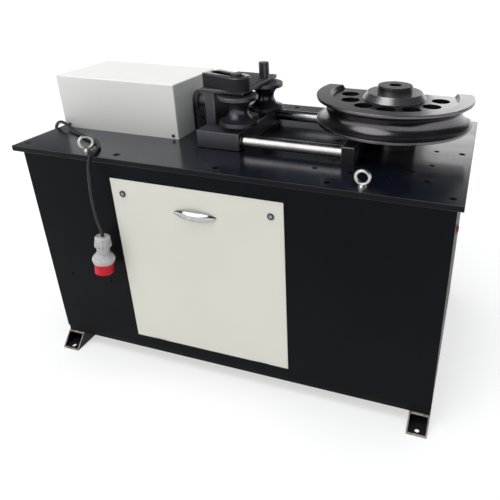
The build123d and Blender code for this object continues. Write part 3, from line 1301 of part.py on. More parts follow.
def main():
    """Write every node."""
    os.makedirs("parts", exist_ok=True)
    save("skid_rails", skid_rail(CABINET_LEFT), skid_rail(CABINET_RIGHT - SKID_WIDTH))
    save("base_frame", base_frame())
    save("floor_plate", floor_plate())
    save("upper_frame", upper_frame())
    save("cabinet_shell", cabinet_shell())
    save("table_plate", table_plate())
    save("table_screws", *table_screws())
    save("eye_bolts", *[eye_bolt(x, y, turn) for (x, y), turn in zip(eye_places(), EYE_TURNS)])

    save("front_panel", front_panel())
    save("panel_handle", panel_handle())
    save("lock_cases", *[lock_case(x, z) for x, z in lock_places()])
    for name, place in zip(("left_lock", "right_lock"), lock_places()):
        save(name, lock_plug(*place))
    save("button_bezels", *[button_bezel(y) for y in button_places()])
    for name, y in zip(("stop_button", "bend_button", "return_button"), button_places()):
        save(name, button_cap(y))

    save("cylinder_cover", cylinder_cover())
    save("cover_fixings", *[cover_fixing(x, side) for x, side in cover_screw_places()])
    save("cylinder_barrel", cylinder_barrel())
    save("cylinder_rear_cap", cylinder_rear_cap())
    save("cylinder_gland", cylinder_gland())
    save("cylinder_supports", front_support(), rear_support())
    save("piston", piston())
    save("piston_rod", piston_rod())

    save("carriage_base", carriage_base())
    save("guide_bushes", guide_bush(-1), guide_bush(1))
    save("upright_plate", upright_plate())
    save("top_plate", top_plate())
    save("slot_block", slot_block())
    save("guide_rods", guide_rod(-1), guide_rod(1))
    save("rod_end_block", rod_end_block())

    front_top = SLOT_BLOCK_Z + SLOT_BLOCK_HEIGHT + FRONT_PIN_PROUD
    rear_top = SLOT_BLOCK_Z + REAR_PIN_PROUD
    for name, x, y, head_bottom, top in (
            ("front", FRONT_ROLLER_X, FRONT_ROLLER_Y, SLOT_BLOCK_Z + PIN_PLAY, front_top),
            ("rear", REAR_ROLLER_X, REAR_ROLLER_Y, TOP_PLATE_Z, rear_top)):
        save(f"{name}_roller", roller(x, y))
        save(f"{name}_roller_bush", roller_bush(x, y))
        save(f"{name}_pin", roller_pin(x, y, head_bottom, top))
        save(f"{name}_collar", collar(x, y))

    save("spindle_housing", spindle_housing())
    save("spindle_bushes", spindle_bush(TABLE_TOP - HOUSING_DROP), spindle_bush(housing_top() - BUSH_LENGTH))
    save("main_spindle", main_spindle())
    save("bend_die", bend_die())
    save("die_clamp", die_clamp())
    save("bull_gear", bull_gear())
    save("drive_pinion", drive_pinion())
    save("gear_case", gear_case())
    save("gear_reducer", gear_reducer())
    save("drive_motor", drive_motor())

    save("oil_tank", oil_tank())
    save("pump_motor", pump_motor())
    save("valve_block", valve_block())
    hose_ends = (valve_x() - HOSE_PITCH / 2, valve_x() + HOSE_PITCH / 2)
    save("hydraulic_hoses", *[hose(x, end) for x, end in zip(port_places(), hose_ends)])
    save("electrical_box", electrical_box())

    save("cable_gland", cable_gland())
    save("power_cord", power_cord())
    save("plug_body", plug_body())
    save("plug_collar", plug_collar())
    save("plug_pins", *[plug_pin(i) for i in range(PLUG_PINS)])


main()
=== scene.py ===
"""The looks of the pipe bender: finishes, cable, floor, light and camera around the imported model."""
import json
import math

import bmesh
import bpy
from mathutils import Matrix, Vector


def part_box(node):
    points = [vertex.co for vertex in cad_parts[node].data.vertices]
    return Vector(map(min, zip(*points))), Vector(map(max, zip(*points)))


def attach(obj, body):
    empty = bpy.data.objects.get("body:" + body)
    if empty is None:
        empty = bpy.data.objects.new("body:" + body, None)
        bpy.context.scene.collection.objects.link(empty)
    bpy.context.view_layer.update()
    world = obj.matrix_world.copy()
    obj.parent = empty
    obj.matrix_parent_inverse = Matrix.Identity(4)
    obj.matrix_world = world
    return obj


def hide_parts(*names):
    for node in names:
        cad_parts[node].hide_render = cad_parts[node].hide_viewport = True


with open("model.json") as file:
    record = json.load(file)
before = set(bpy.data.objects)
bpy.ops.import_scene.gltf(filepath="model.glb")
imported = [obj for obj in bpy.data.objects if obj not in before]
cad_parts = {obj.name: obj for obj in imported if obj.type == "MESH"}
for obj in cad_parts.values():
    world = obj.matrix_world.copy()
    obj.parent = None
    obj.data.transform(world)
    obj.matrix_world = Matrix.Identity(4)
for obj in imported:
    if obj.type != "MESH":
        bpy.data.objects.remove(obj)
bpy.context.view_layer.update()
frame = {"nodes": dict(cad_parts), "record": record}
NODES = frame["nodes"]
BODY_OF = {node: body for body, group in frame["record"]["behaviour"]["bodies"].items() for node in group}

# Axes of the turned pieces, in metres
DIE_AXIS = (0.4075, 0.037)
PINION_AXIS = (0.4075, 0.173)
FRONT_ROLLER_AXIS = (-0.017, -0.128)
REAR_ROLLER_AXIS = (-0.008, 0.045)

# Rims painted lighter, as rubbed steel and a painted highlight, each the radius and height of a circle
# about the piece's axis
ROLLER_RIMS = [(0.0575, 0.8669), (0.0575, 0.8483), (0.0575, 0.7997), (0.0575, 0.7811)]
DIE_RIMS = [(0.229, 0.8639), (0.229, 0.7842), (0.188, 0.8639)]
SPINDLE_RIMS = [(0.051, 0.8908), (0.080, 0.8718), (0.094, 0.8579)]
RIM_RUB_AND_HIGHLIGHT = 0.0022

# Sloping ends of the skid tubes, and how deep their faces are worn
SKID_HALF_LENGTH = 0.392
SKID_HEIGHT = 0.045
SKID_REACH = 0.043
SKID_WORN = (0.0004, 0.0012)

# Colours that several finishes use
CHARCOAL = (0.062, 0.061, 0.076)
ROLLER_BLACK = (0.074, 0.073, 0.088)
# Lighter steel for the rims: rubbed wear and a painted highlight
RUBBED_AND_HIGHLIT_STEEL = (0.46, 0.45, 0.44)
GEAR_STEEL = (0.34, 0.35, 0.36)

# Height of the bumps on paint, on metal and plastic, and on the table
PAINT_GRAIN = 0.0004
FINE_GRAIN = 0.0002
TABLE_GRAIN = 0.0008

# Colour sockets of the Mix node
MIX_FIRST, MIX_SECOND, MIX_RESULT = 6, 7, 2

# Camera of the photograph
CAMERA_PLACE = (0.6526, -1.4581, 1.2332)
CAMERA_FORWARD = (-0.2593, 0.8608, -0.4378)
CAMERA_UP = (-0.1373, 0.4159, 0.8990)
SENSOR = 36.0
LENS = 37.22
SHIFT = (-0.1529, -0.0906)

# Background
FLOOR_HALF_SIZE = 30.0
FLOOR_GREYS = (0.84, 0.86)
FLOOR_WHITE = 0.55
BACKDROP_FADE = (0.19, 0.27)
ROOM_COLOUR = (0.054, 0.058, 0.068)
WHITE = (1.0, 1.0, 1.0)

# Edges and rounds
WELD = 1e-6
FLAT_ANGLE = math.radians(0.3)
SHARP_ANGLE = math.radians(30)
SMOOTH_ANGLE = math.radians(20)
UPRIGHT_FACE = 0.3
LEVEL_FACE = 0.95
MAIN_SLOT, EDGE_SLOT, SIDE_SLOT = 0, 1, 2
ROUND_SEGMENTS = 2
TABLE_ROUND = 0.0012
COVER_ROUND = 0.0016
PANEL_ROUND = 0.0008
BLOCK_ROUND = 0.0010

# Handle
HANDLE_RUNS = 48
HANDLE_STEPS = 14
HANDLE_TIP = 1.03
HANDLE_CROWN = 0.0062
HANDLE_RIM = 0.0010
HANDLE_END_RISE = 0.0025

# Power cable
CORD_DIAMETER = 0.010
CORD_ROUNDNESS = 6
CORD_ORDER = 3
CORD_STEPS = 8
CORD_ROUTE = [
    (-0.628, -0.140, 0.633), (-0.648, -0.140, 0.633), (-0.667, -0.140, 0.643), (-0.680, -0.141, 0.661),
    (-0.683, -0.142, 0.685), (-0.677, -0.145, 0.708), (-0.662, -0.149, 0.725), (-0.641, -0.155, 0.733),
    (-0.614, -0.165, 0.731), (-0.583, -0.179, 0.725), (-0.548, -0.197, 0.722), (-0.512, -0.217, 0.7225),
    (-0.474, -0.234, 0.723), (-0.436, -0.247, 0.723), (-0.407, -0.269, 0.723), (-0.386, -0.299, 0.722),
    (-0.374, -0.328, 0.7215), (-0.366, -0.351, 0.722), (-0.361, -0.369, 0.713), (-0.358, -0.381, 0.695),
    (-0.358, -0.385, 0.673), (-0.361, -0.385, 0.648), (-0.365, -0.384, 0.621), (-0.366, -0.384, 0.594),
    (-0.365, -0.3845, 0.569), (-0.3625, -0.3855, 0.545), (-0.360, -0.386, 0.527), (-0.356, -0.386, 0.511),
    (-0.3519, -0.3862, 0.4956), (-0.3534, -0.387, 0.481),
]


def shade(colour, factor):
    return tuple(channel * factor for channel in colour)


class Finish:
    """A material's node tree, with short ways to add what the finishes share."""

    def __init__(self, name, **values):
        self.material = bpy.data.materials.new(name)
        self.material.use_nodes = True
        self.tree = self.material.node_tree
        self.shader = self.tree.nodes["Principled BSDF"]
        for socket, value in values.items():
            self.shader.inputs[socket.replace("_", " ")].default_value = value
        self.place = self.add("ShaderNodeTexCoord").outputs["Object"]

    def add(self, kind, **settings):
        node = self.tree.nodes.new(kind)
        for key, value in settings.items():
            setattr(node, key, value)
        return node

    def join(self, output, target):
        self.tree.links.new(output, target)

    def stretched(self, scale=(1, 1, 1), offset=(0, 0, 0)):
        node = self.add("ShaderNodeMapping")
        node.inputs["Scale"].default_value = scale
        node.inputs["Location"].default_value = offset
        self.join(self.place, node.inputs["Vector"])
        return node.outputs["Vector"]

    def noise(self, scale, detail=3.0, rough=0.5, vector=None):
        node = self.add("ShaderNodeTexNoise")
        node.inputs["Scale"].default_value = scale
        node.inputs["Detail"].default_value = detail
        node.inputs["Roughness"].default_value = rough
        self.join(vector or self.place, node.inputs["Vector"])
        return node.outputs["Fac"]

    def math(self, operation, first, second=0.0):
        node = self.add("ShaderNodeMath", operation=operation)
        for socket, value in zip(node.inputs, (first, second)):
            if isinstance(value, (int, float)):
                socket.default_value = value
            else:
                self.join(value, socket)
        return node.outputs["Value"]

    def mean(self, first, second, share):
        """A weighted mean, where share is the weight of the first value."""
        parts = [self.math("MULTIPLY", first, share), self.math("MULTIPLY", second, 1 - share)]
        return self.math("ADD", *parts)

    def span(self, value, low=0, high=1, start=0.3, end=0.7):
        """Spread a value from start to end, where most of a noise lies, over low to high."""
        node = self.add("ShaderNodeMapRange")
        node.inputs["From Min"].default_value = start
        node.inputs["From Max"].default_value = end
        node.inputs["To Min"].default_value = low
        node.inputs["To Max"].default_value = high
        self.join(value, node.inputs["Value"])
        return node.outputs["Result"]

    def blend(self, factor, first, second):
        node = self.add("ShaderNodeMix", data_type="RGBA")
        self.join(factor, node.inputs["Factor"])
        for index, value in ((MIX_FIRST, first), (MIX_SECOND, second)):
            if isinstance(value, tuple):
                node.inputs[index].default_value = (*value, 1.0)
            else:
                self.join(value, node.inputs[index])
        return node.outputs[MIX_RESULT]

    def toned(self, value, colour, darkest, lightest):
        """A colour that a noise makes darker here and lighter there."""
        return self.blend(self.span(value), shade(colour, darkest), shade(colour, lightest))

    def about(self, axis):
        """Distance from an upright axis, and height, as a two-number place for turning marks."""
        parts = self.add("ShaderNodeSeparateXYZ")
        self.join(self.stretched(offset=(-axis[0], -axis[1], 0)), parts.inputs["Vector"])
        squares = [self.math("MULTIPLY", parts.outputs[i], parts.outputs[i]) for i in ("X", "Y")]
        radius = self.math("SQRT", self.math("ADD", *squares))
        both = self.add("ShaderNodeCombineXYZ")
        self.join(radius, both.inputs["X"])
        self.join(parts.outputs["Z"], both.inputs["Y"])
        return both.outputs["Vector"]

    def near(self, place, point, width):
        """1 at a point, falling to 0 at a width from it."""
        node = self.add("ShaderNodeVectorMath", operation="DISTANCE")
        self.join(place, node.inputs[0])
        node.inputs[1].default_value = (*point, 0.0)
        return self.span(node.outputs["Value"], low=1, high=0, start=0, end=width)

    def colour(self, output):
        self.join(output, self.shader.inputs["Base Color"])

    def roughness(self, output):
        self.join(output, self.shader.inputs["Roughness"])

    def bump(self, height, strength, distance):
        node = self.add("ShaderNodeBump")
        node.inputs["Strength"].default_value = strength
        node.inputs["Distance"].default_value = distance
        self.join(height, node.inputs["Height"])
        self.join(node.outputs["Normal"], self.shader.inputs["Normal"])


def paint(name, colour, rough, vary=0.08, peel=0.06, **values):
    """Sprayed paint or powder coat: cloudy colour, an uneven gloss and a fine orange peel."""
    finish = Finish(name, **values)
    finish.colour(finish.toned(finish.noise(2.6, detail=4), colour, 1 - vary, 1 + vary))
    finish.roughness(finish.span(finish.noise(9, detail=5, rough=0.6), *rough))
    finish.bump(finish.noise(700, detail=2), peel, PAINT_GRAIN)
    return finish.material


def table_paint():
    """Glossy black paint with wiped smears and specks of dust."""
    darkest, lightest = (0.0022, 0.0032, 0.0068), (0.0042, 0.0054, 0.0105)
    dust_colour, dust_cover = (0.07, 0.07, 0.08), 0.35
    finish = Finish("table_gloss_black", Coat_Weight=0.35, Coat_Roughness=0.14, Specular_IOR_Level=0.4)
    base = finish.blend(finish.span(finish.noise(3.2, detail=5)), darkest, lightest)
    dust = finish.span(finish.noise(420, detail=1), start=0.70, end=0.78)
    finish.colour(finish.blend(finish.math("MULTIPLY", dust, dust_cover), base, dust_colour))
    smear = finish.noise(5, detail=5, rough=0.65, vector=finish.stretched((0.6, 2.2, 1)))
    finish.roughness(finish.span(smear, low=0.15, high=0.27))
    finish.bump(finish.noise(190, detail=4, rough=0.7), 0.22, TABLE_GRAIN)
    return finish.material


def skid_paint():
    """Black paint, worn to bare steel on the sawn faces at the ends of the tubes."""
    darkest, lightest, bare = (0.008, 0.008, 0.009), (0.014, 0.014, 0.016), (0.30, 0.27, 0.25)
    slope = math.hypot(SKID_HEIGHT, SKID_REACH)
    outward, upward = SKID_HEIGHT / slope, SKID_REACH / slope
    finish = Finish("skid_black", Specular_IOR_Level=0.25)
    parts = finish.add("ShaderNodeSeparateXYZ")
    finish.join(finish.place, parts.inputs["Vector"])
    run = finish.math("MULTIPLY", finish.math("ABSOLUTE", parts.outputs["Y"]), outward)
    rise = finish.math("MULTIPLY", parts.outputs["Z"], upward)
    depth = finish.math("SUBTRACT", SKID_HALF_LENGTH * outward, finish.math("ADD", run, rise))
    worn = finish.span(depth, 1, 0, *SKID_WORN)
    patchy = finish.math("MULTIPLY", worn, finish.span(finish.noise(60, detail=4), low=0.15))
    base = finish.blend(finish.span(finish.noise(8, detail=4)), darkest, lightest)
    finish.colour(finish.blend(patchy, base, bare))
    finish.roughness(finish.span(finish.noise(20, detail=4), low=0.36, high=0.55))
    finish.bump(finish.noise(500), 0.08, PAINT_GRAIN)
    return finish.material


def milled(name, colour, rough, metallic, along=(30, 900, 900), **values):
    """Milled or ground steel with long fine streaks and blotches of oil and oxide."""
    finish = Finish(name, Metallic=metallic, **values)
    streak = finish.noise(1, detail=4, rough=0.6, vector=finish.stretched(along))
    blotch = finish.noise(16, detail=5, rough=0.6)
    mixed = finish.mean(streak, blotch, 0.45)
    finish.colour(finish.toned(mixed, colour, 0.72, 1.28))
    finish.roughness(finish.span(mixed, *rough))
    finish.bump(streak, 0.12, FINE_GRAIN)
    return finish.material


def turned(name, axis, colour, rough, metallic, marks=900, depth=0.10, rims=(), **values):
    """Steel turned on a lathe: fine rings about its own axis, cloudy oxide, and rims painted lighter, as
    rubbed steel with a painted highlight.
    """
    finish = Finish(name, Metallic=metallic, **values)
    profile = finish.about(axis)
    rings = finish.noise(marks, rough=0.6, vector=profile)
    blotch = finish.noise(14, detail=5, rough=0.6)
    mixed = finish.mean(rings, blotch, 0.5)
    shown = finish.toned(mixed, colour, 0.75, 1.25)
    # Painted highlight on the rims, with rubbing: lighter steel in a thin band at each rim, broken up by
    # the blotches
    for rim in rims:
        rubbed_and_highlit = finish.math("MULTIPLY", finish.near(profile, rim, RIM_RUB_AND_HIGHLIGHT), finish.span(blotch, low=0.3))
        shown = finish.blend(rubbed_and_highlit, shown, RUBBED_AND_HIGHLIT_STEEL)
    finish.colour(shown)
    finish.roughness(finish.span(mixed, *rough))
    finish.bump(rings, depth, FINE_GRAIN)
    return finish.material


def plated(name, colour, rough, cells=120):
    """Zinc or chrome plate: metal with a faint crystal mottle."""
    finish = Finish(name, Metallic=1.0)
    mottle = finish.noise(cells, rough=0.6)
    finish.colour(finish.toned(mottle, colour, 0.86, 1.10))
    finish.roughness(finish.span(finish.noise(cells / 3), *rough))
    finish.bump(mottle, 0.05, FINE_GRAIN)
    return finish.material


def moulded(name, colour, rough, **values):
    """Moulded plastic or rubber with a fine grain and handling marks."""
    finish = Finish(name, **values)
    finish.colour(finish.toned(finish.noise(45, detail=4, rough=0.6), colour, 0.84, 1.08))
    finish.roughness(finish.span(finish.noise(70), *rough))
    finish.bump(finish.noise(500, detail=2), 0.08, FINE_GRAIN)
    return finish.material


# Each finish has its material's name, its colour and the lowest and highest roughness.
# Paint then has how much its colour varies, and metal has how metallic it looks.
FINISHES = {
    "cabinet": paint("cabinet_satin_black", (0.0048, 0.0052, 0.0074), (0.34, 0.48), 0.15,
                     Specular_IOR_Level=0.05),
    "frame": paint("frame_black", (0.0050, 0.0050, 0.0058), (0.42, 0.58), 0.15, Specular_IOR_Level=0.08),
    "skid": skid_paint(),
    "table": table_paint(),
    "table_side": paint("table_side_black", (0.0058, 0.0062, 0.0085), (0.30, 0.46), 0.2,
                        Specular_IOR_Level=0.1),
    # Lighter paint on the rounds of the table's edges: rubbed wear and a painted highlight along the edge
    "table_edge": paint("table_worn_edge_highlight", (0.035, 0.034, 0.038), (0.30, 0.5), 0.7,
                        Specular_IOR_Level=0.25),
    "cover": paint("cover_white", (0.735, 0.74, 0.715), (0.36, 0.46), 0.02, peel=0.05),
    "panel": paint("panel_ivory", (0.63, 0.63, 0.56), (0.36, 0.48), 0.025, peel=0.05),
    "block": milled("carriage_charcoal", CHARCOAL, (0.40, 0.58), 0.55),
    # A much darker copy of the carriage charcoal, for painted shade: on the slot block's upright sides,
    # which face the light, and on the rod end block under the die
    "dark_block": milled("block_painted_shade", shade(CHARCOAL, 0.22), (0.36, 0.52), 0.55,
                         Specular_IOR_Level=0.3),
    "ground": milled("block_ground_top", (0.42, 0.41, 0.40), (0.12, 0.22), 0.95),
    # Lighter steel on the rounds and sloping faces of the carriage blocks: a painted highlight
    "block_edge": milled("carriage_edge_highlight", (0.17, 0.165, 0.165), (0.30, 0.45), 0.9),
    "front_roller": turned("front_roller_black", FRONT_ROLLER_AXIS, ROLLER_BLACK, (0.22, 0.36), 0.8,
                           rims=ROLLER_RIMS),
    "rear_roller": turned("rear_roller_black", REAR_ROLLER_AXIS, ROLLER_BLACK, (0.22, 0.36), 0.8,
                          rims=ROLLER_RIMS),
    "die": turned("die_dark_steel", DIE_AXIS, (0.128, 0.123, 0.127), (0.16, 0.28), 0.95,
                  marks=700, depth=0.14, rims=DIE_RIMS),
    "spindle": turned("spindle_dark_steel", DIE_AXIS, (0.078, 0.076, 0.080), (0.20, 0.34), 0.9,
                      rims=SPINDLE_RIMS),
    "clamp": turned("clamp_bare_steel", DIE_AXIS, (0.36, 0.35, 0.35), (0.20, 0.34), 0.95,
                    rims=SPINDLE_RIMS),
    "gear": turned("gear_steel", DIE_AXIS, GEAR_STEEL, (0.3, 0.45), 1.0),
    "pinion": turned("pinion_steel", PINION_AXIS, GEAR_STEEL, (0.3, 0.45), 1.0),
    "barrel": milled("cylinder_steel", (0.16, 0.16, 0.165), (0.3, 0.45), 0.8, along=(900, 60, 60)),
    "rod": milled("rod_hard_chrome", (0.48, 0.472, 0.466), (0.20, 0.32), 1.0, along=(8, 1200, 1200)),
    "handle": plated("handle_chrome", (0.50, 0.50, 0.51), (0.05, 0.12), cells=60),
    "zinc": plated("zinc_plate", (0.60, 0.595, 0.57), (0.24, 0.42), cells=260),
    "lock_ring": plated("lock_ring_plate", (0.045, 0.044, 0.047), (0.26, 0.40), cells=260),
    "lock": plated("lock_face_plate", (0.33, 0.33, 0.335), (0.26, 0.40), cells=260),
    "screw": plated("screw_black_oxide", (0.055, 0.053, 0.055), (0.34, 0.5), cells=260),
    "bronze": milled("bush_bronze", (0.46, 0.30, 0.13), (0.3, 0.45), 1.0, along=(300, 900, 900)),
    "casting": paint("casting_grey", (0.16, 0.18, 0.20), (0.45, 0.6), 0.12, peel=0.25),
    "tank": paint("tank_grey", (0.28, 0.30, 0.31), (0.38, 0.5), 0.06),
    "valve": milled("valve_steel", (0.42, 0.42, 0.44), (0.3, 0.45), 1.0),
    "rubber": moulded("cable_rubber", (0.014, 0.014, 0.016), (0.34, 0.46), Specular_IOR_Level=0.35),
    "black_plastic": moulded("black_plastic", (0.020, 0.020, 0.021), (0.35, 0.5)),
    "red_plastic": moulded("red_button", (0.55, 0.015, 0.015), (0.22, 0.34)),
    "green_plastic": moulded("green_button", (0.02, 0.26, 0.06), (0.22, 0.34)),
    "plug_grey": moulded("plug_grey", (0.46, 0.46, 0.46), (0.42, 0.58)),
    "plug_red": moulded("plug_red", (0.60, 0.006, 0.026), (0.34, 0.46), Specular_IOR_Level=0.2),
    "pin": plated("pin_nickel", (0.66, 0.60, 0.45), (0.2, 0.35)),
}

# Which CAD nodes show each finish
DRESS = {
    "skid": ["skid_rails"],
    "frame": ["base_frame", "floor_plate", "upper_frame"],
    "cabinet": ["cabinet_shell"],
    "table": ["table_plate"],
    "screw": ["table_screws", "cover_fixings", "guide_bushes"],
    "zinc": ["eye_bolts"],
    "lock": ["left_lock", "right_lock"],
    "lock_ring": ["lock_cases"],
    "panel": ["front_panel"],
    "handle": ["panel_handle"],
    "black_plastic": ["button_bezels", "return_button", "cable_gland"],
    "red_plastic": ["stop_button"],
    "green_plastic": ["bend_button"],
    "cover": ["cylinder_cover"],
    "barrel": ["cylinder_barrel", "cylinder_rear_cap", "cylinder_gland", "piston", "piston_rod"],
    "block": ["carriage_base", "upright_plate", "top_plate", "cylinder_supports"],
    "ground": ["slot_block"],
    # Painted shade on the rod end block under the die
    "dark_block": ["rod_end_block"],
    "rod": ["guide_rods"],
    "bronze": ["front_roller_bush", "rear_roller_bush", "spindle_bushes"],
    "front_roller": ["front_roller", "front_pin", "front_collar"],
    "rear_roller": ["rear_roller", "rear_pin", "rear_collar"],
    "spindle": ["spindle_housing", "main_spindle"],
    "clamp": ["die_clamp"],
    "die": ["bend_die"],
    "gear": ["bull_gear"],
    "pinion": ["drive_pinion"],
    "casting": ["gear_case", "gear_reducer", "drive_motor", "pump_motor"],
    "tank": ["oil_tank", "electrical_box"],
    "valve": ["valve_block"],
    "rubber": ["hydraulic_hoses", "power_cord"],
    "plug_grey": ["plug_body"],
    "plug_red": ["plug_collar"],
    "pin": ["plug_pins"],
}
FINISH_OF = {node: key for key, group in DRESS.items() for node in group}
for node, key in FINISH_OF.items():
    NODES[node].data.materials.clear()
    NODES[node].data.materials.append(FINISHES[key])


def add_piece(name, data, node):
    """Put a piece in the scene in place of a CAD node, on that node's body."""
    piece = bpy.data.objects.new(name, data)
    bpy.context.scene.collection.objects.link(piece)
    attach(piece, BODY_OF[node])
    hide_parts(node)
    return piece


def mesh_piece(name, shape, node, finishes):
    """Turn a bmesh into a piece that stands for a CAD node, smooth where its faces meet gently."""
    mesh = bpy.data.meshes.new(name)
    shape.to_mesh(mesh)
    shape.free()
    if "custom_normal" in mesh.attributes:
        mesh.attributes.remove(mesh.attributes["custom_normal"])
    for finish in finishes:
        mesh.materials.append(FINISHES[finish])
    mesh.shade_smooth()
    mesh.set_sharp_from_angle(angle=SMOOTH_ANGLE)
    add_piece(name, mesh, node)


def rounded(node, width, edge=None, side=None):
    """The node's own solid with its sharp edges broken by a small round.

    The rounds and the sloping faces may show a lighter finish that paints a highlight along them, and the
    upright faces one of their own, which on the slot block paints shade.
    """
    shape = bmesh.new()
    shape.from_mesh(NODES[node].data)
    bmesh.ops.remove_doubles(shape, verts=shape.verts, dist=WELD)
    bmesh.ops.dissolve_limit(shape, angle_limit=FLAT_ANGLE, verts=shape.verts, edges=shape.edges)
    sharp = [line for line in shape.edges if line.is_manifold and line.calc_face_angle() > SHARP_ANGLE
             and line.calc_length() > 2 * width]
    bmesh.ops.bevel(shape, geom=sharp, offset=width, offset_type="OFFSET", segments=ROUND_SEGMENTS,
                    profile=0.5, affect="EDGES", clamp_overlap=False,
                    material=EDGE_SLOT if edge else MAIN_SLOT)
    for face in shape.faces:
        lean = abs(face.normal.z)
        # Upright faces take the side finish; on the slot block that is painted shade
        if side and face.material_index == MAIN_SLOT and lean < UPRIGHT_FACE:
            face.material_index = SIDE_SLOT
        # Sloping faces take the lighter edge finish as well: a painted highlight set by how the face
        # leans
        elif edge and UPRIGHT_FACE < lean < LEVEL_FACE:
            face.material_index = EDGE_SLOT
    main = FINISH_OF[node]
    mesh_piece(node + "_rounded", shape, node, [main, edge or main, side or main])


def bow_handle():
    """The chrome leaf of the handle: a bow with a crowned outer face and a flat back."""
    low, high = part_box("panel_handle")
    mid_x, mid_z = (low[0] + high[0]) / 2, (low[2] + high[2]) / 2
    half_x, half_z = (high[0] - low[0]) / 2, (high[2] - low[2]) / 2
    face, rise = high[1], high[1] - low[1]
    shape = bmesh.new()
    rings = []
    for i in range(HANDLE_RUNS + 1):
        way = 2 * i / HANDLE_RUNS - 1
        leaf = math.sqrt(1 - (way / HANDLE_TIP) ** 2)
        front = face - HANDLE_END_RISE - (rise - HANDLE_END_RISE) * (1 - way * way)
        x, reach, crown = mid_x + half_x * way, half_z * leaf, HANDLE_CROWN * leaf
        ring = []
        for j in range(HANDLE_STEPS + 1):
            across = 2 * j / HANDLE_STEPS - 1
            ring.append((x, front + crown * across * across, mid_z + reach * across))
        back = min(front + crown + HANDLE_RIM, face)
        ring += [(x, back, mid_z + reach), (x, back, mid_z - reach)]
        rings.append([shape.verts.new(point) for point in ring])
    for one, two in zip(rings, rings[1:]):
        for k in range(len(one)):
            shape.faces.new((one[k - 1], one[k], two[k], two[k - 1]))
    shape.faces.new(rings[0])
    shape.faces.new(rings[-1][::-1])
    bmesh.ops.recalc_face_normals(shape, faces=shape.faces)
    mesh_piece("handle_bow", shape, "panel_handle", ["handle"])


def power_cable():
    """The cable as one smooth run over the table's edge to the plug."""
    line = bpy.data.curves.new("power_cable", "CURVE")
    line.dimensions = "3D"
    line.bevel_depth = CORD_DIAMETER / 2
    line.bevel_resolution = CORD_ROUNDNESS
    spline = line.splines.new("NURBS")
    spline.points.add(len(CORD_ROUTE) - 1)
    for point, place in zip(spline.points, CORD_ROUTE):
        point.co = (*place, 1.0)
    spline.order_u = CORD_ORDER
    spline.use_endpoint_u = True
    spline.resolution_u = CORD_STEPS
    line.materials.append(FINISHES["rubber"])
    cable = add_piece("power_cable", line, "power_cord")


bow_handle()
rounded("table_plate", TABLE_ROUND, "table_edge", "table_side")
rounded("cylinder_cover", COVER_ROUND)
rounded("front_panel", PANEL_ROUND)
# The slot block's upright sides take the darker copy: painted shade
rounded("slot_block", BLOCK_ROUND, "block_edge", "dark_block")
for node in ("carriage_base", "upright_plate", "top_plate", "rod_end_block", "cylinder_supports"):
    rounded(node, BLOCK_ROUND, "block_edge")
power_cable()


def combine(tree, operation, first, second):
    """One number from two outputs of a node tree."""
    node = tree.nodes.new("ShaderNodeMath")
    node.operation = operation
    tree.links.new(first, node.inputs[0])
    tree.links.new(second, node.inputs[1])
    return node.outputs["Value"]


def background_rays(tree):
    """Two outputs: 1 for rays that see the background, and 1 for rays that show it in metal or glass."""
    rays = tree.nodes.new("ShaderNodeLightPath").outputs
    shown_in = combine(tree, "MAXIMUM", rays["Is Glossy Ray"], rays["Is Transmission Ray"])
    return rays["Is Camera Ray"], shown_in


def add_floor():
    """A pale floor that is partly white by itself, so that it stays white and keeps the shadow."""
    size = FLOOR_HALF_SIZE
    mesh = bpy.data.meshes.new("floor")
    corners = [(-size, -size, 0), (size, -size, 0), (size, size, 0), (-size, size, 0)]
    mesh.from_pydata(corners, [], [(0, 1, 2, 3)])
    finish = Finish("floor_pale", Roughness=0.9, Specular_IOR_Level=0.1)
    finish.colour(finish.toned(finish.noise(1.5, detail=2), WHITE, *FLOOR_GREYS))
    white = finish.add("ShaderNodeEmission")
    both = finish.add("ShaderNodeMixShader")
    shown = combine(finish.tree, "MAXIMUM", *background_rays(finish.tree))
    finish.join(finish.math("MULTIPLY", shown, FLOOR_WHITE), both.inputs["Fac"])
    finish.join(finish.shader.outputs["BSDF"], both.inputs[1])
    finish.join(white.outputs["Emission"], both.inputs[2])
    finish.join(both.outputs["Shader"], finish.tree.nodes["Material Output"].inputs["Surface"])
    mesh.materials.append(finish.material)
    floor = bpy.data.objects.new("floor", mesh)
    bpy.context.scene.collection.objects.link(floor)


def add_lamp(name, lamp, towards):
    """Put a lamp in the scene, turned so that it shines in the given direction."""
    lit = bpy.data.objects.new(name, lamp)
    lit.rotation_mode = "QUATERNION"
    lit.rotation_quaternion = Vector(towards).to_track_quat("-Z", "Y")
    bpy.context.scene.collection.objects.link(lit)
    return lit


def add_sun(name, strength, spread, towards, mirrored=True):
    """Wide soft light from one side. It can be left out of what metal shows."""
    lamp = bpy.data.lights.new(name, "SUN")
    lamp.energy = strength
    lamp.angle = math.radians(spread)
    add_lamp(name, lamp, towards).visible_glossy = mirrored


def add_softbox(name, power, size, place, target):
    """A bright rectangle that shows in the metal, turned to a target."""
    lamp = bpy.data.lights.new(name, "AREA")
    lamp.shape = "RECTANGLE"
    lamp.size, lamp.size_y = size
    lamp.energy = power
    box = add_lamp(name, lamp, Vector(target) - Vector(place))
    box.location = place
    box.visible_camera = False


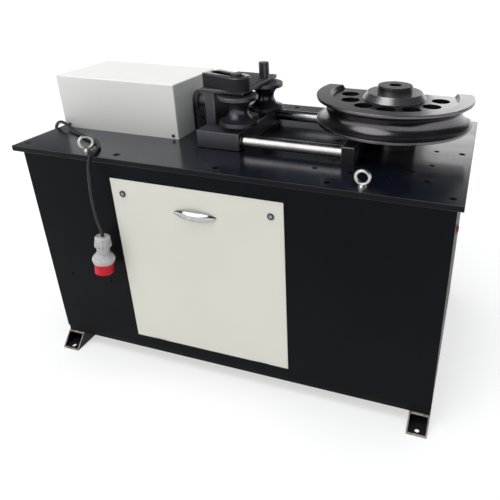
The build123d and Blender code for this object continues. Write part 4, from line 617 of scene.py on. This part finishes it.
def add_world():
    """A dim room with a white backdrop all round. Metal shows the backdrop up to a low height."""
    world = bpy.data.worlds.new("studio")
    world.use_nodes = True
    tree = world.node_tree
    parts = tree.nodes.new("ShaderNodeSeparateXYZ")
    tree.links.new(tree.nodes.new("ShaderNodeTexCoord").outputs["Generated"], parts.inputs["Vector"])
    fade = tree.nodes.new("ShaderNodeMapRange")
    fade.interpolation_type = "SMOOTHSTEP"
    fade.inputs["From Min"].default_value, fade.inputs["From Max"].default_value = BACKDROP_FADE
    fade.inputs["To Min"].default_value, fade.inputs["To Max"].default_value = 1, 0
    tree.links.new(parts.outputs["Z"], fade.inputs["Value"])
    seen, mirrored = background_rays(tree)
    white = combine(tree, "MAXIMUM", seen, combine(tree, "MULTIPLY", mirrored, fade.outputs["Result"]))
    mix = tree.nodes.new("ShaderNodeMix")
    mix.data_type = "RGBA"
    tree.links.new(white, mix.inputs["Factor"])
    mix.inputs[MIX_FIRST].default_value = (*ROOM_COLOUR, 1.0)
    mix.inputs[MIX_SECOND].default_value = (*WHITE, 1.0)
    tree.links.new(mix.outputs[MIX_RESULT], tree.nodes["Background"].inputs["Color"])
    bpy.context.scene.world = world


def add_camera():
    """The camera that was fitted to the photograph."""
    lens = bpy.data.cameras.new("camera")
    lens.sensor_width = SENSOR
    lens.lens = LENS
    lens.shift_x, lens.shift_y = SHIFT
    camera = bpy.data.objects.new("camera", lens)
    forward = Vector(CAMERA_FORWARD).normalized()
    right = forward.cross(Vector(CAMERA_UP)).normalized()
    up = right.cross(forward)
    turn = Matrix((right, up, -forward)).transposed()
    camera.matrix_world = Matrix.Translation(CAMERA_PLACE) @ turn.to_4x4()
    bpy.context.scene.collection.objects.link(camera)
    bpy.context.scene.camera = camera


add_floor()
add_world()
add_sun("top_light", strength=3.2, spread=55, towards=(0.0, 0.0, -1.0), mirrored=False)
add_sun("front_light", strength=1.55, spread=58, towards=(0.41, 0.71, -0.57))
add_softbox("back_light", power=3.0, size=(0.8, 0.5), place=(0.62, 3.0, 1.60), target=(*DIE_AXIS, 0.86))
add_camera()
bpy.context.scene.view_settings.view_transform = "Standard"
